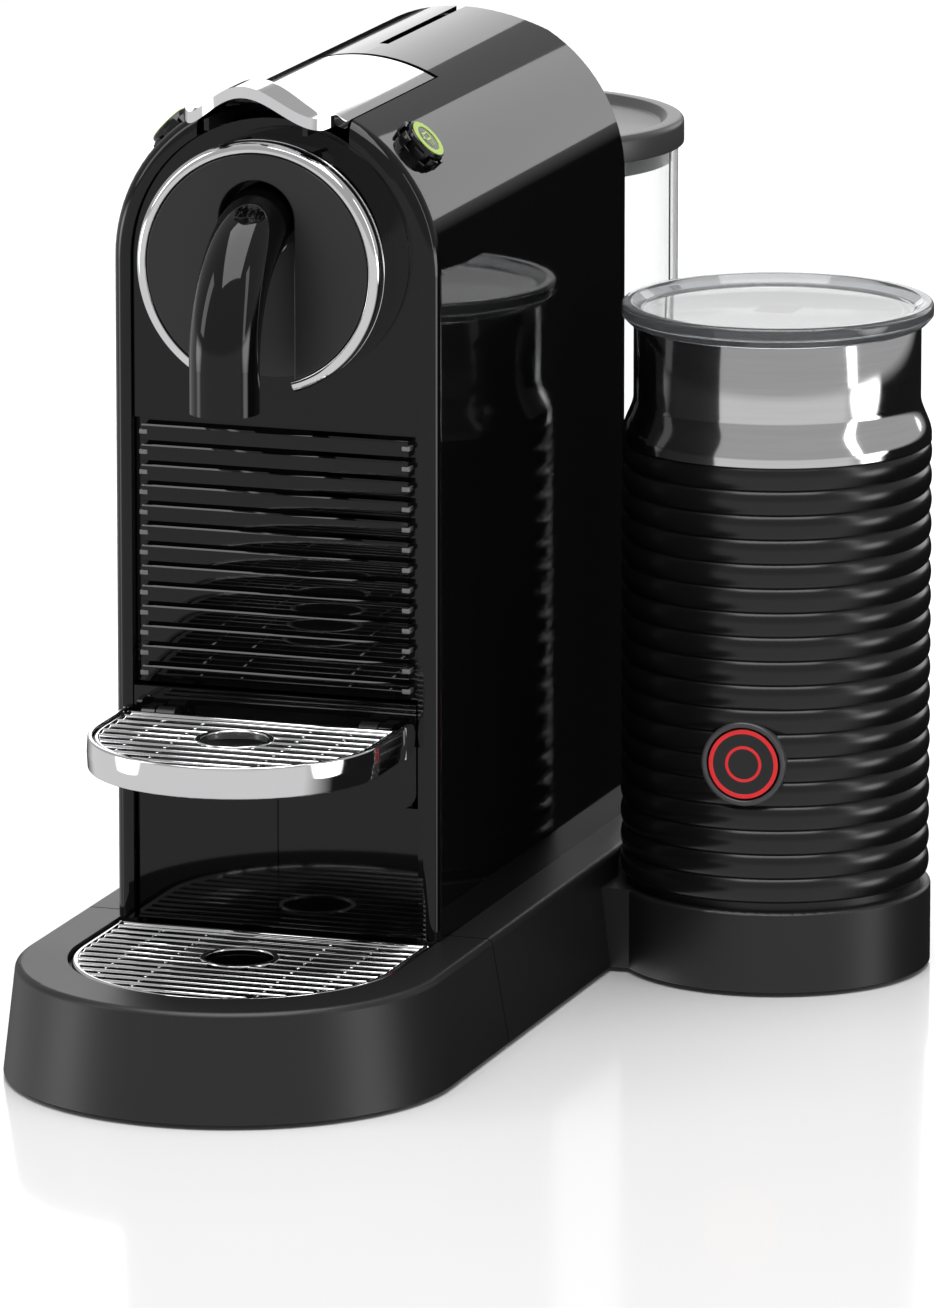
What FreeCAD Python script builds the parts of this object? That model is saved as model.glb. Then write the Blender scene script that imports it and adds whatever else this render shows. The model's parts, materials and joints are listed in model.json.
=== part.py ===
import FreeCAD, Part
import math
import os

# Pod coffee machine with a milk frother on its own pedestal.
# The model is built about the machine's own axis: x = 0 is the middle of the brewing body, y = 0 is the
# front edge of the side covers, the front looks along -Y, and z = 0 is the table. Every piece is moved to
# the row frame (origin at the bottom centre of the whole object) when it is written. Lengths are in mm.

V = FreeCAD.Vector

# ---- base and pedestal ----
FOOT_HEIGHT = 1.5
BASE_RADIUS = 65.7          # half width at the table, and radius of both round ends
BASE_TOP_RADIUS = 62.0      # half width at the top edge
BASE_TOP = 33.0
BASE_FRONT = -41.8          # centre of the front half circle
BASE_REAR = 198.9           # centre of the rear half circle
BASE_WALL = 2.6
BASE_EDGE = 2.0             # rounding of the top edge
BASE_FLOOR = 4.2            # top of the floor under the tray slot
SEAM_TOP = 5.0              # where the tray front meets the rear base, at the top edge
SEAM_RAKE = 0.15            # how far the seam runs back for each mm down
SEAM_GAP = 0.6
FROTHER_X = 107.2
FROTHER_Y = 133.7
PEDESTAL_RADIUS = 46.2
PEDESTAL_TOP = 25.3
BRIDGE_FRONT = 104.5
BRIDGE_REAR = 163.0
SLOT_HALF = 42.9            # tray slot in the base
SLOT_REAR = 112.0
FOOT_RADIUS = 6.5
FOOT_PLACES = [
    (-54, 24), (54, 24), (-46, 216), (46, 216),
    (FROTHER_X + 12, FROTHER_Y - 22), (FROTHER_X + 12, FROTHER_Y + 22),
]
SCREW_PLACES = [(-54, 48), (54, 48), (-30, 234), (30, 234), (FROTHER_X - 20, FROTHER_Y)]
TANK_PORT = 9.0             # hole in the base under the tank's valve
CONNECTOR_RADIUS = 9.2      # post that the frother stands on
CORD_Y = 178.0              # cord inlet in the left side of the base
CORD_Z = 15.0
CORD_HOLE = 4.0
CORD_COLLAR = 6.5
CORD_INNER = 57.5
CORD_OUTER = 64.6

# ---- body ----
SHELL_RADIUS = 49.1         # half width of the body and radius of its arched top
SHELL_WALL = 2.2
SHELL_CENTRE = 227.0        # height of the arch's centre
SHELL_REAR = 168.0
SHELL_GAP = 0.4             # gap between body and tray front
BEZEL_DEPTH = 5.6
BEZEL_OPENING = 43.3        # half width of the opening in the front frame
DECK_BOTTOM = 102.5
DECK_TOP = 105.0
TOP_SLOT_HALF = 1.4
TOP_SLOT_FRONT = 91.0
TOP_SLOT_REAR = 165.0

# ---- brew head and louvres ----
HEAD_CENTRE = 229.0
RING_RADIUS = 36.6
RING_INNER = 33.4
DISC_RADIUS = 33.2
HEAD_FRONT = -20.0
PANEL_FRONT = -4.0
PANEL_BACK = -1.5
RECESS_HALF = 11.2
RECESS_TOP = 254.5
SPOUT_RADIUS = 10.0
SPOUT_BEND = 37.0
SPOUT_START = -7.0
SPOUT_HEIGHT = 243.0
SPOUT_BOTTOM = 193.0
SPOUT_BEND_Y = -10.0        # where the spout starts to turn down
SPOUT_END_Y = SPOUT_BEND_Y - SPOUT_BEND
DUCT_RADIUS = 5.0           # duct from the brew group into the spout
SLAT_COUNT = 13
SLAT_PITCH = 5.89
SLAT_TOP = 179.3
SLAT_HEIGHT = 4.9
SLAT_HALF = 40.3
SLAT_BACK = -2.0

# ---- lever and brew group ----
LEVER_Y = 40.0              # lever's hinge axis, along X
LEVER_Z = 264.6
LEVER_HALF = 22.5
LEVER_REAR = 70.5
LEVER_EYE = 4.4             # radius of the eyes round the hinge pin
LEVER_INNER = 47.1          # the plate lies flush with the arch
LEVER_OUTER = 49.1
LEVER_OPENING_HALF = 22.9
LEVER_OPENING_REAR = 73.4
LIP_THICKNESS = 3.4
LIP_DIP = 273.6             # top of the lip at its two dips
LIP_CREST = 9.8             # how far the middle of the lip stands above its dips
LIP_HALF_WAVE = 20.0
LIP_CORNER_RISE = 0.6
LIP_CORNER_Y = -17.0
LIP_FRONT = -31.0
SKIRT_OUTSIDE = 15.5        # two skirts under the lever's plate
SKIRT_INSIDE = 14.0
SKIRT_BOTTOM = 268.2
PIN_RADIUS = 2.5
RUNNING = 0.06              # radial clearance of a pin that turns in a hole
BREW_Z = 219.0
CAGE_RADIUS = 17.0
CAGE_FRONT = 14.0
CAGE_REAR = 46.0
CHUTE_HALF = 19.0           # chute that used capsules fall through
CHUTE_FRONT = 9.0
CHUTE_REAR = 44.0

# ---- pump, flow meter and heater ----
PUMP_Z = 130.0
PUMP_FRONT = 88.0
PUMP_REAR = 146.0
PLUNGER_RADIUS = 5.9
HOSE_RADIUS = 2.4
METER_X = -32.0
METER_Y = 134.0
METER_TOP = 119.0
METER_RADIUS = 10.5
HEATER_REAR = 75.0

# ---- buttons on the shoulders ----
BUTTON_ANGLE = 47.5         # from straight up
BUTTON_Y = 16.0
BUTTON_FACE = 53.2          # distance of the face from the arch's centre line
BUTTON_FOOT = 48.5
BUTTON_RADIUS = 6.5
STEM_FOOT = 44.6
COLLAR_TOP = 51.6
COLLAR_FOOT = 45.5
COLLAR_RADIUS = 7.8
COLLAR_INNER = 6.8

# ---- tray, grids and cup shelf ----
TRAY_ARC = -38.0            # centre of the round front of the tray and its grid
TRAY_CAVITY = 48.6
GRID_RADIUS = 47.4
GRID_BOTTOM = 30.6
GRID_TOP = 32.8
GRID_BARS = 13
GRID_HOLE = 9.8
GRID_HOLE_Y = -36.5
BAR_WIDTH = 1.7
SHELF_HALF = 43.0
SHELF_ARC = -37.0
SHELF_TOP = 98.0
SHELF_BOTTOM = 88.7
SHELF_BARS = 9
SHELF_HINGE_Y = -10.5
SHELF_HINGE_Z = 94.0
SHELF_PIN = 1.5
SHELF_REAR = -15.5
CONTAINER_HALF = 40.0
CONTAINER_TOP = 97.0
HINGE_PANEL_FRONT = -5.8
HINGE_PANEL_BOTTOM = 72.0
HINGE_PANEL_TOP = 102.6

# ---- water tank ----
TANK_Y = 213.0
TANK_RADIUS = 49.0
TANK_WALL = 1.8
TANK_BOTTOM = 36.0
TANK_TOP = 229.0
TANK_DISH = 51.5            # radius of the hollow in the back of the body
VALVE_RADIUS = 5.5
LID_RADIUS = 50.8
LID_TOP = 235.0

# ---- frother ----
SLEEVE_RADIUS = 45.6
SLEEVE_VALLEY = 44.4
SLEEVE_BOTTOM = 28.0
SLEEVE_TOP = 158.0
SLEEVE_INNER = 42.6
RIB_COUNT = 18
NECK_RADIUS = 42.2
NECK_BOTTOM = 171.0
NECK_TOP = 193.0
POT_RADIUS = 40.4
POT_INNER = 39.2
POT_BOTTOM = 69.5
FROTHER_LID_RADIUS = 45.8
FROTHER_LID_TOP = 199.0
FROTHER_BUTTON_Z = 70.0
FROTHER_BUTTON_ANGLE = 5.5  # from straight ahead, towards +X
WHISK_SPINDLE = 2.2

# ---- row frame ----
ORIGIN_X = (FROTHER_X + PEDESTAL_RADIUS - BASE_RADIUS) / 2
ORIGIN_Y = (BASE_REAR + BASE_FRONT) / 2

FAR = 400.0                 # longer than the object, for cutting blocks


# ---------------------------------------------------------------- basic solids

def box(x0, x1, y0, y1, z0, z1):
    return Part.makeBox(x1 - x0, y1 - y0, z1 - z0, V(x0, y0, z0))


def wide(half, y0, y1, z0, z1):
    """A block centred on x = 0."""
    return box(-half, half, y0, y1, z0, z1)


def upright(x, y, z0, z1, radius):
    return Part.makeCylinder(radius, z1 - z0, V(x, y, z0), V(0, 0, 1))


def lengthwise(x, z, y0, y1, radius):
    return Part.makeCylinder(radius, y1 - y0, V(x, y0, z), V(0, 1, 0))


def crosswise(y, z, x0, x1, radius):
    return Part.makeCylinder(radius, x1 - x0, V(x0, y, z), V(1, 0, 0))


def upright_ring(x, y, z0, z1, outer, inner):
    return upright(x, y, z0, z1, outer).cut(upright(x, y, z0, z1, inner))


def lengthwise_ring(x, z, y0, y1, outer, inner):
    return lengthwise(x, z, y0, y1, outer).cut(lengthwise(x, z, y0, y1, inner))


def joined(shapes):
    whole = shapes[0].multiFuse(shapes[1:])
    return whole.removeSplitter()


def both_sides(solid):
    """The solid and its mirror image across x = 0."""
    return [solid, solid.mirror(V(0, 0, 0), V(1, 0, 0))]


def arch(half, bottom, y0, y1, centre=SHELL_CENTRE):
    """A block with a half-round top of radius half."""
    edges = [
        Part.makeLine(V(half, y0, bottom), V(half, y0, centre)),
        Part.Arc(V(half, y0, centre), V(0, y0, centre + half), V(-half, y0, centre)).toShape(),
        Part.makeLine(V(-half, y0, centre), V(-half, y0, bottom)),
        Part.makeLine(V(-half, y0, bottom), V(half, y0, bottom)),
    ]
    return Part.Face(Part.Wire(edges)).extrude(V(0, y1 - y0, 0))


def round_front(half, centre_y, rear_y, z0, z1):
    """A slab with a half-round front of radius half and a straight rear edge."""
    edges = [
        Part.Arc(V(-half, centre_y, z0), V(0, centre_y - half, z0), V(half, centre_y, z0)).toShape(),
        Part.makeLine(V(half, centre_y, z0), V(half, rear_y, z0)),
        Part.makeLine(V(half, rear_y, z0), V(-half, rear_y, z0)),
        Part.makeLine(V(-half, rear_y, z0), V(-half, centre_y, z0)),
    ]
    return Part.Face(Part.Wire(edges)).extrude(V(0, 0, z1 - z0))


def stadium_wire(radius, z):
    edges = [
        Part.Arc(V(-radius, BASE_FRONT, z), V(0, BASE_FRONT - radius, z), V(radius, BASE_FRONT, z)).toShape(),
        Part.makeLine(V(radius, BASE_FRONT, z), V(radius, BASE_REAR, z)),
        Part.Arc(V(radius, BASE_REAR, z), V(0, BASE_REAR + radius, z), V(-radius, BASE_REAR, z)).toShape(),
        Part.makeLine(V(-radius, BASE_REAR, z), V(-radius, BASE_FRONT, z)),
    ]
    return Part.Wire(edges)


def stadium(low_radius, high_radius, z0, z1):
    """The base's long round-ended outline, tapered upwards."""
    return Part.makeLoft([stadium_wire(low_radius, z0), stadium_wire(high_radius, z1)], True, True)


def turned(outline, x, y):
    """Solid of revolution about an upright axis; outline is a list of (radius, z), closed."""
    points = [V(x + radius, y, z) for radius, z in outline]
    face = Part.Face(Part.makePolygon(points + [points[0]]))
    return face.revolve(V(x, y, 0), V(0, 0, 1), 360)


def top_edges(solid, z):
    """Edges that lie flat at height z."""
    flat = []
    for edge in solid.Edges:
        if abs(edge.BoundBox.ZMin - z) < 0.01 and abs(edge.BoundBox.ZMax - z) < 0.01:
            flat.append(edge)
    return flat


def pipe(points, radius, bend):
    """A hose through the points, with round bends."""
    edges = []
    start = points[0]
    for before, corner, after in zip(points, points[1:], points[2:]):
        into = (corner - before).normalize()
        out = (after - corner).normalize()
        turn = into.getAngle(out)
        reach = bend * math.tan(turn / 2)
        first = corner - into * reach
        last = corner + out * reach
        inwards = (out - into).normalize()
        middle = corner + inwards * (bend / math.cos(turn / 2) - bend)
        edges.append(Part.makeLine(start, first))
        edges.append(Part.Arc(first, middle, last).toShape())
        start = last
    edges.append(Part.makeLine(start, points[-1]))
    path = Part.Wire(edges)
    direction = points[1] - points[0]
    section = Part.Wire(Part.makeCircle(radius, points[0], direction))
    return path.makePipeShell([section], True, True)


# ---------------------------------------------------------------- base

def before_seam(offset):
    """Everything in front of the raked seam, moved back by offset."""
    low, high = -5.0, BASE_TOP + 10.0
    low_y = SEAM_TOP + offset + (BASE_TOP - low) * SEAM_RAKE
    high_y = SEAM_TOP + offset + (BASE_TOP - high) * SEAM_RAKE
    corners = [V(-FAR, -FAR, low), V(-FAR, low_y, low), V(-FAR, high_y, high), V(-FAR, -FAR, high)]
    return Part.Face(Part.makePolygon(corners + [corners[0]])).extrude(V(2 * FAR, 0, 0))


def base_block():
    block = stadium(BASE_RADIUS, BASE_TOP_RADIUS, FOOT_HEIGHT, BASE_TOP)
    return block.makeFillet(BASE_EDGE, top_edges(block, BASE_TOP))


def base_shell():
    bridge = box(40, FROTHER_X, BRIDGE_FRONT, BRIDGE_REAR, FOOT_HEIGHT, PEDESTAL_TOP)
    pedestal = upright(FROTHER_X, FROTHER_Y, FOOT_HEIGHT, PEDESTAL_TOP, PEDESTAL_RADIUS)
    pedestal = pedestal.makeFillet(1.2, top_edges(pedestal, PEDESTAL_TOP))
    outside = joined([base_block(), bridge, pedestal]).cut(before_seam(SEAM_GAP / 2))
    under = FOOT_HEIGHT - 1
    base_roof = BASE_TOP - BASE_WALL
    pedestal_roof = PEDESTAL_TOP - BASE_WALL
    hollow = stadium(BASE_RADIUS - BASE_WALL, BASE_TOP_RADIUS - BASE_WALL, under, base_roof)
    hollow = hollow.cut(before_seam(SEAM_GAP / 2 + BASE_WALL))
    hollow = hollow.cut(wide(SLOT_HALF + BASE_WALL, -FAR, SLOT_REAR + BASE_WALL, under, BASE_TOP))
    bridge_hollow = box(52, FROTHER_X, BRIDGE_FRONT + BASE_WALL, BRIDGE_REAR - BASE_WALL, under, pedestal_roof)
    pedestal_hollow = upright(FROTHER_X, FROTHER_Y, under, pedestal_roof, PEDESTAL_RADIUS - BASE_WALL)
    shell = outside.cut(joined([hollow, bridge_hollow, pedestal_hollow]))
    shell = shell.cut(wide(SLOT_HALF, -FAR, SLOT_REAR, BASE_FLOOR, BASE_TOP + 1))
    seat = upright_ring(0, TANK_Y, BASE_TOP, TANK_BOTTOM, 46.0, 42.0)
    shell = shell.fuse(seat.cut(wide(FAR, 0, SHELL_REAR + 1, 0, FAR)))
    shell = shell.cut(upright(0, TANK_Y, 0, TANK_BOTTOM, TANK_PORT))
    shell = shell.cut(upright(FROTHER_X, FROTHER_Y, 0, PEDESTAL_TOP + 1, CONNECTOR_RADIUS - 3))
    shell = shell.cut(upright(FROTHER_X, FROTHER_Y, PEDESTAL_TOP, BASE_TOP + 1, PEDESTAL_RADIUS))
    shell = shell.cut(upright(METER_X, METER_Y, BASE_TOP - BASE_WALL - 1, BASE_TOP + 1, HOSE_RADIUS + 0.8))
    return shell.cut(crosswise(CORD_Y, CORD_Z, -FAR, -CORD_INNER + 1, CORD_COLLAR))


def base_plate():
    gap = 0.4
    top = FOOT_HEIGHT + 2
    half = BASE_RADIUS - BASE_WALL - gap
    plate = stadium(half, half - 0.3, FOOT_HEIGHT, top).cut(before_seam(SEAM_GAP / 2 + BASE_WALL + gap))
    plate = plate.cut(wide(SLOT_HALF + BASE_WALL + gap, -FAR, SLOT_REAR + BASE_WALL + gap, 0, 10))
    inset = BASE_WALL + gap
    arm = box(50, FROTHER_X, BRIDGE_FRONT + inset, BRIDGE_REAR - inset, FOOT_HEIGHT, top)
    disc = upright(FROTHER_X, FROTHER_Y, FOOT_HEIGHT, top, PEDESTAL_RADIUS - inset)
    return joined([plate, arm, disc])


def feet():
    return [upright(x, y, 0, FOOT_HEIGHT, FOOT_RADIUS) for x, y in FOOT_PLACES]


def base_screws():
    """Pan-head screws that hold the bottom plate up into the base."""
    screws = []
    for x, y in SCREW_PLACES:
        head = upright(x, y, 3.5, 5.5, 3.2)
        screws.append(head.fuse(upright(x, y, 5.5, 15.0, 1.5)))
    return screws


def cord_grommet():
    collar = crosswise(CORD_Y, CORD_Z, -CORD_OUTER, -CORD_INNER, CORD_COLLAR)
    return collar.cut(crosswise(CORD_Y, CORD_Z, -CORD_OUTER, -CORD_INNER, CORD_HOLE))


def tank_connector():
    cup = upright(0, TANK_Y, BASE_TOP - BASE_WALL, TANK_BOTTOM - 1, TANK_PORT - 0.1)
    cup = cup.cut(upright(0, TANK_Y, BASE_TOP - 1, TANK_BOTTOM, TANK_PORT - 2.5))
    pipe_end = upright(0, TANK_Y, 16.0, BASE_TOP - BASE_WALL, 4.0)
    return joined([cup, pipe_end])


def frother_connector():
    post = upright(FROTHER_X, FROTHER_Y, PEDESTAL_TOP, 30.6, CONNECTOR_RADIUS)
    stem = upright(FROTHER_X, FROTHER_Y, 15.0, PEDESTAL_TOP, CONNECTOR_RADIUS - 3.1)
    return joined([post, stem])


# ---------------------------------------------------------------- body covers

def chassis_frame():
    reach = SHELL_RADIUS - SHELL_WALL - 0.5
    deck = wide(reach, 3, 156, DECK_BOTTOM, DECK_TOP)
    back = wide(reach, 112.5, 115, BASE_TOP, DECK_BOTTOM)
    legs = both_sides(box(43.6, reach, 14, 112.5, BASE_TOP, DECK_BOTTOM))
    frame = joined([deck, back] + legs)
    frame = frame.cut(wide(CHUTE_HALF, CHUTE_FRONT, CHUTE_REAR, DECK_BOTTOM - 1, DECK_TOP + 1))
    return frame.cut(upright(METER_X, METER_Y, DECK_BOTTOM - 1, DECK_TOP + 1, HOSE_RADIUS + 0.8))


def button_placed(solid, side):
    """Stand a solid drawn about the Z axis on the left (-1) or right (+1) shoulder."""
    placed = solid.copy()
    placed.rotate(V(0, 0, 0), V(0, 1, 0), side * BUTTON_ANGLE)
    placed.translate(V(0, BUTTON_Y, SHELL_CENTRE))
    return placed


def side_shell(side):
    outside = arch(SHELL_RADIUS, BASE_TOP, 0, SHELL_REAR)
    inside = arch(SHELL_RADIUS - SHELL_WALL, BASE_TOP - 1, -1, SHELL_REAR + 1)
    shell = outside.cut(inside)
    kept = box(0, FAR, -1, FAR, 0, FAR)
    if side < 0:
        kept = box(-FAR, 0, -1, FAR, 0, FAR)
    shell = shell.common(kept)
    shell = shell.cut(wide(FAR, -1, 12, BASE_TOP - 1, BASE_TOP + SHELL_GAP))
    shell = shell.cut(wide(LEVER_OPENING_HALF, -1, LEVER_OPENING_REAR, SHELL_CENTRE, FAR))
    shell = shell.cut(wide(TOP_SLOT_HALF, TOP_SLOT_FRONT, TOP_SLOT_REAR, SHELL_CENTRE, FAR))
    shell = shell.cut(upright(0, TANK_Y, 0, FAR, TANK_DISH))
    return shell.cut(button_placed(upright(0, 0, 40, 60, COLLAR_RADIUS + 0.05), side))


def front_bezel():
    bottom = BASE_TOP + SHELL_GAP
    frame = arch(SHELL_RADIUS, bottom, -BEZEL_DEPTH, 0)
    rounded = []
    for edge in frame.Edges:
        box_ = edge.BoundBox
        on_front = abs(box_.YMin + BEZEL_DEPTH) < 0.01 and abs(box_.YMax + BEZEL_DEPTH) < 0.01
        if on_front and box_.ZMax > SHELL_CENTRE - 1:
            rounded.append(edge)
    frame = frame.makeFillet(4.2, rounded)
    frame = frame.cut(arch(BEZEL_OPENING, bottom - 1, -BEZEL_DEPTH - 1, 1))
    return frame.cut(wide(LEVER_OPENING_HALF, -BEZEL_DEPTH - 1, 1, SHELL_CENTRE, FAR))


def rear_wall():
    reach = SHELL_RADIUS - SHELL_WALL - 0.3
    front = SHELL_REAR - 10
    block = arch(reach, BASE_TOP, front, SHELL_REAR)
    block = block.cut(upright(0, TANK_Y, 0, FAR, TANK_DISH))
    hollow = arch(reach - SHELL_WALL, BASE_TOP + SHELL_WALL, front - 1, SHELL_REAR - SHELL_WALL)
    hollow = hollow.cut(upright(0, TANK_Y, 0, FAR, TANK_DISH + SHELL_WALL))
    return block.cut(hollow)


def front_panel():
    """Gloss fascia round the brew head, with the flat bed behind the louvres below it."""
    side = BEZEL_OPENING - 0.3
    fascia = arch(side, 181.0, PANEL_FRONT, PANEL_BACK)
    bed = wide(side, SLAT_BACK, -0.2, HINGE_PANEL_TOP + 0.6, 181.0)
    rib = wide(side, SLAT_BACK, PANEL_BACK, 181.0, 184.0)
    panel = joined([fascia, bed, rib])
    return panel.cut(lengthwise(0, SPOUT_HEIGHT - 7, -10, 10, DUCT_RADIUS + 0.3))


def louvre_slats():
    slats = []
    for number in range(SLAT_COUNT):
        top = SLAT_TOP - number * SLAT_PITCH
        bottom = top - SLAT_HEIGHT
        outline = [
            V(-SLAT_HALF, SLAT_BACK, top - 0.9),
            V(-SLAT_HALF, -4.7, top),
            V(-SLAT_HALF, -BEZEL_DEPTH, top - 0.7),
            V(-SLAT_HALF, -4.6, bottom),
            V(-SLAT_HALF, SLAT_BACK, bottom),
        ]
        slats.append(Part.Face(Part.makePolygon(outline + [outline[0]])).extrude(V(2 * SLAT_HALF, 0, 0)))
    return slats


# ---------------------------------------------------------------- brew head

def recess():
    slot = wide(RECESS_HALF, HEAD_FRONT - 1, SPOUT_START, 180, RECESS_TOP - RECESS_HALF)
    crown = lengthwise(0, RECESS_TOP - RECESS_HALF, HEAD_FRONT - 1, SPOUT_START, RECESS_HALF)
    return joined([slot, crown])


def brew_ring():
    ring = lengthwise_ring(0, HEAD_CENTRE, HEAD_FRONT, PANEL_FRONT, RING_RADIUS, RING_INNER)
    groove = lengthwise_ring(0, HEAD_CENTRE, HEAD_FRONT + 4.6, HEAD_FRONT + 5.2, RING_RADIUS + 1,
                             RING_RADIUS - 0.5)
    return ring.cut(groove).cut(wide(RECESS_HALF, -FAR, SPOUT_START, 180, HEAD_CENTRE))


def brew_disc():
    face_y = HEAD_FRONT + 0.1
    disc = lengthwise(0, HEAD_CENTRE, face_y, PANEL_FRONT, DISC_RADIUS)
    disc = disc.cut(recess())
    rim = [edge for edge in disc.Edges if abs(edge.BoundBox.YMax - face_y) < 0.01]
    disc = disc.makeFillet(0.5, rim)
    return disc.cut(lengthwise(0, SPOUT_HEIGHT - 7, -10, 0, DUCT_RADIUS + 0.1))


def spout_path(start_y):
    centre_z = SPOUT_HEIGHT - SPOUT_BEND
    diagonal = SPOUT_BEND * math.sqrt(0.5)
    middle = V(0, SPOUT_BEND_Y - diagonal, centre_z + diagonal)
    return [
        Part.makeLine(V(0, start_y, SPOUT_HEIGHT), V(0, SPOUT_BEND_Y, SPOUT_HEIGHT)),
        Part.Arc(V(0, SPOUT_BEND_Y, SPOUT_HEIGHT), middle, V(0, SPOUT_END_Y, centre_z)).toShape(),
        Part.makeLine(V(0, SPOUT_END_Y, centre_z), V(0, SPOUT_END_Y, SPOUT_BOTTOM)),
    ]


def coffee_spout():
    path = Part.Wire(spout_path(SPOUT_START))
    section = Part.Wire(Part.makeCircle(SPOUT_RADIUS, V(0, SPOUT_START, SPOUT_HEIGHT), V(0, -1, 0)))
    spout = path.makePipeShell([section], True, True)
    return spout.cut(upright(0, SPOUT_END_Y, SPOUT_BOTTOM - 1, SPOUT_BOTTOM + 12, SPOUT_RADIUS - 1.8))


def spout_nozzle():
    """Plug in the mouth of the spout with two coffee outlets."""
    plug = upright(0, SPOUT_END_Y, SPOUT_BOTTOM + 3, SPOUT_BOTTOM + 10, SPOUT_RADIUS - 2.0)
    for x in (-3.2, 3.2):
        plug = plug.cut(upright(x, SPOUT_END_Y, SPOUT_BOTTOM, SPOUT_BOTTOM + 11, 1.6))
    return plug


def brew_housing():
    """Frame of the brew group: guides the cage and carries the lever's hinge pin."""
    front = wide(27, 3, 7, 193, 262)
    floor = wide(27, 7, 85, 193, 196).cut(wide(CHUTE_HALF, CHUTE_FRONT, CHUTE_REAR, 190, 200))
    cheeks = both_sides(box(23.8, 27, 7, 85, 196, 256))
    back = wide(23.8, 82, 85, 196, 232)
    legs = both_sides(box(23.8, 27, 3, 9, DECK_TOP, 193)) + both_sides(box(23.8, 27, 78, 85, DECK_TOP, 193))
    arms = both_sides(box(17, 23.8, LEVER_Y - 4, LEVER_Y + 4, 244, 256))
    posts = both_sides(box(17, 20, LEVER_Y - 4, LEVER_Y + 4, 256, LEVER_Z))
    eyes = both_sides(crosswise(LEVER_Y, LEVER_Z, 17, 20, LEVER_EYE))
    housing = joined([front, floor, back] + cheeks + legs + arms + posts + eyes)
    housing = housing.cut(wide(30, BUTTON_Y - 6, BUTTON_Y + 6, 243, FAR))
    housing = housing.cut(crosswise(LEVER_Y, LEVER_Z, -30, 30, PIN_RADIUS + 0.02))
    return housing.cut(lengthwise(0, SPOUT_HEIGHT - 7, 0, 10, DUCT_RADIUS + 0.1))


def pierce_plate():
    """Plate with blunt pyramids that opens the capsule's foil, and the duct to the spout."""
    plate = wide(16.5, 7, 9, BREW_Z - 16.5, SPOUT_HEIGHT - 1)
    studs = []
    for x in (-9, -3, 3, 9):
        for z in (-9, -3, 3, 9):
            studs.append(Part.makeCone(1.5, 0.5, 1.4, V(x, 9, BREW_Z + z), V(0, 1, 0)))
    duct = lengthwise(0, SPOUT_HEIGHT - 7, SPOUT_START, 7, DUCT_RADIUS)
    return joined([plate, duct] + studs)


def lever_pin():
    return crosswise(LEVER_Y, LEVER_Z, -20, 20, PIN_RADIUS)


def capsule_cage():
    cup = lengthwise(0, BREW_Z, CAGE_FRONT, CAGE_REAR, CAGE_RADIUS)
    cup = cup.cut(lengthwise(0, BREW_Z, CAGE_FRONT - 1, CAGE_REAR - 5, CAGE_RADIUS - 2.5))
    guides = both_sides(box(CAGE_RADIUS - 1.5, 23.5, CAGE_FRONT + 8, CAGE_REAR, BREW_Z - 3, BREW_Z + 3))
    inlet = lengthwise(0, BREW_Z, CAGE_REAR, CAGE_REAR + 6, 4)
    needles = [Part.makeCone(1.4, 0.3, 4, V(x, CAGE_REAR - 5, BREW_Z), V(0, -1, 0)) for x in (-6, 0, 6)]
    return joined([cup, inlet] + guides + needles)


def cage_seal():
    return lengthwise_ring(0, BREW_Z, CAGE_FRONT - 2.5, CAGE_FRONT, CAGE_RADIUS - 0.3, CAGE_RADIUS - 2.3)


# ---------------------------------------------------------------- lever

def lip_height(x):
    """Top of the wavy lip across the front of the lever."""
    if abs(x) < LIP_HALF_WAVE:
        return LIP_DIP + LIP_CREST * math.cos(math.pi * x / (2 * LIP_HALF_WAVE)) ** 1.6
    rise = (abs(x) - LIP_HALF_WAVE) / (LEVER_HALF - LIP_HALF_WAVE)
    return LIP_DIP + LIP_CORNER_RISE * math.sin(rise * math.pi / 2) ** 2


def lever_section(y, share, thickness):
    """Closed outline across the lever at y; share is 0 for the arch and 1 for the lip."""
    top = []
    steps = 36
    for step in range(steps + 1):
        x = -LEVER_HALF + 2 * LEVER_HALF * step / steps
        arched = SHELL_CENTRE + math.sqrt(LEVER_OUTER ** 2 - x ** 2)
        top.append(V(x, y, arched + share * (lip_height(x) - arched)))
    under = [point - V(0, 0, thickness) for point in reversed(top)]
    return Part.makePolygon(top + under + [top[0]])


def lever_cover():
    """Chrome plate over the arch, rolled up at the front into a wavy finger lip."""
    plate = LEVER_OUTER - LEVER_INNER
    stations = [
        (LEVER_REAR, 0, plate), (-7, 0, plate), (-9.5, 0.2, 2.3), (-12, 0.5, 2.7), (-14.5, 0.8, 3.1),
        (LIP_CORNER_Y, 1, LIP_THICKNESS), (LIP_FRONT, 1, LIP_THICKNESS),
    ]
    sections = [lever_section(y, share, thickness) for y, share, thickness in stations]
    cover = Part.makeLoft(sections, True, True)
    bulge = LIP_CORNER_Y - LIP_FRONT
    radius = (LEVER_HALF ** 2 + bulge ** 2) / (2 * bulge)
    waste = wide(LEVER_HALF + 5, LIP_FRONT - 5, LIP_CORNER_Y, 200, FAR)
    return cover.cut(waste.cut(upright(0, LIP_FRONT + radius, 190, FAR + 10, radius)))


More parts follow.
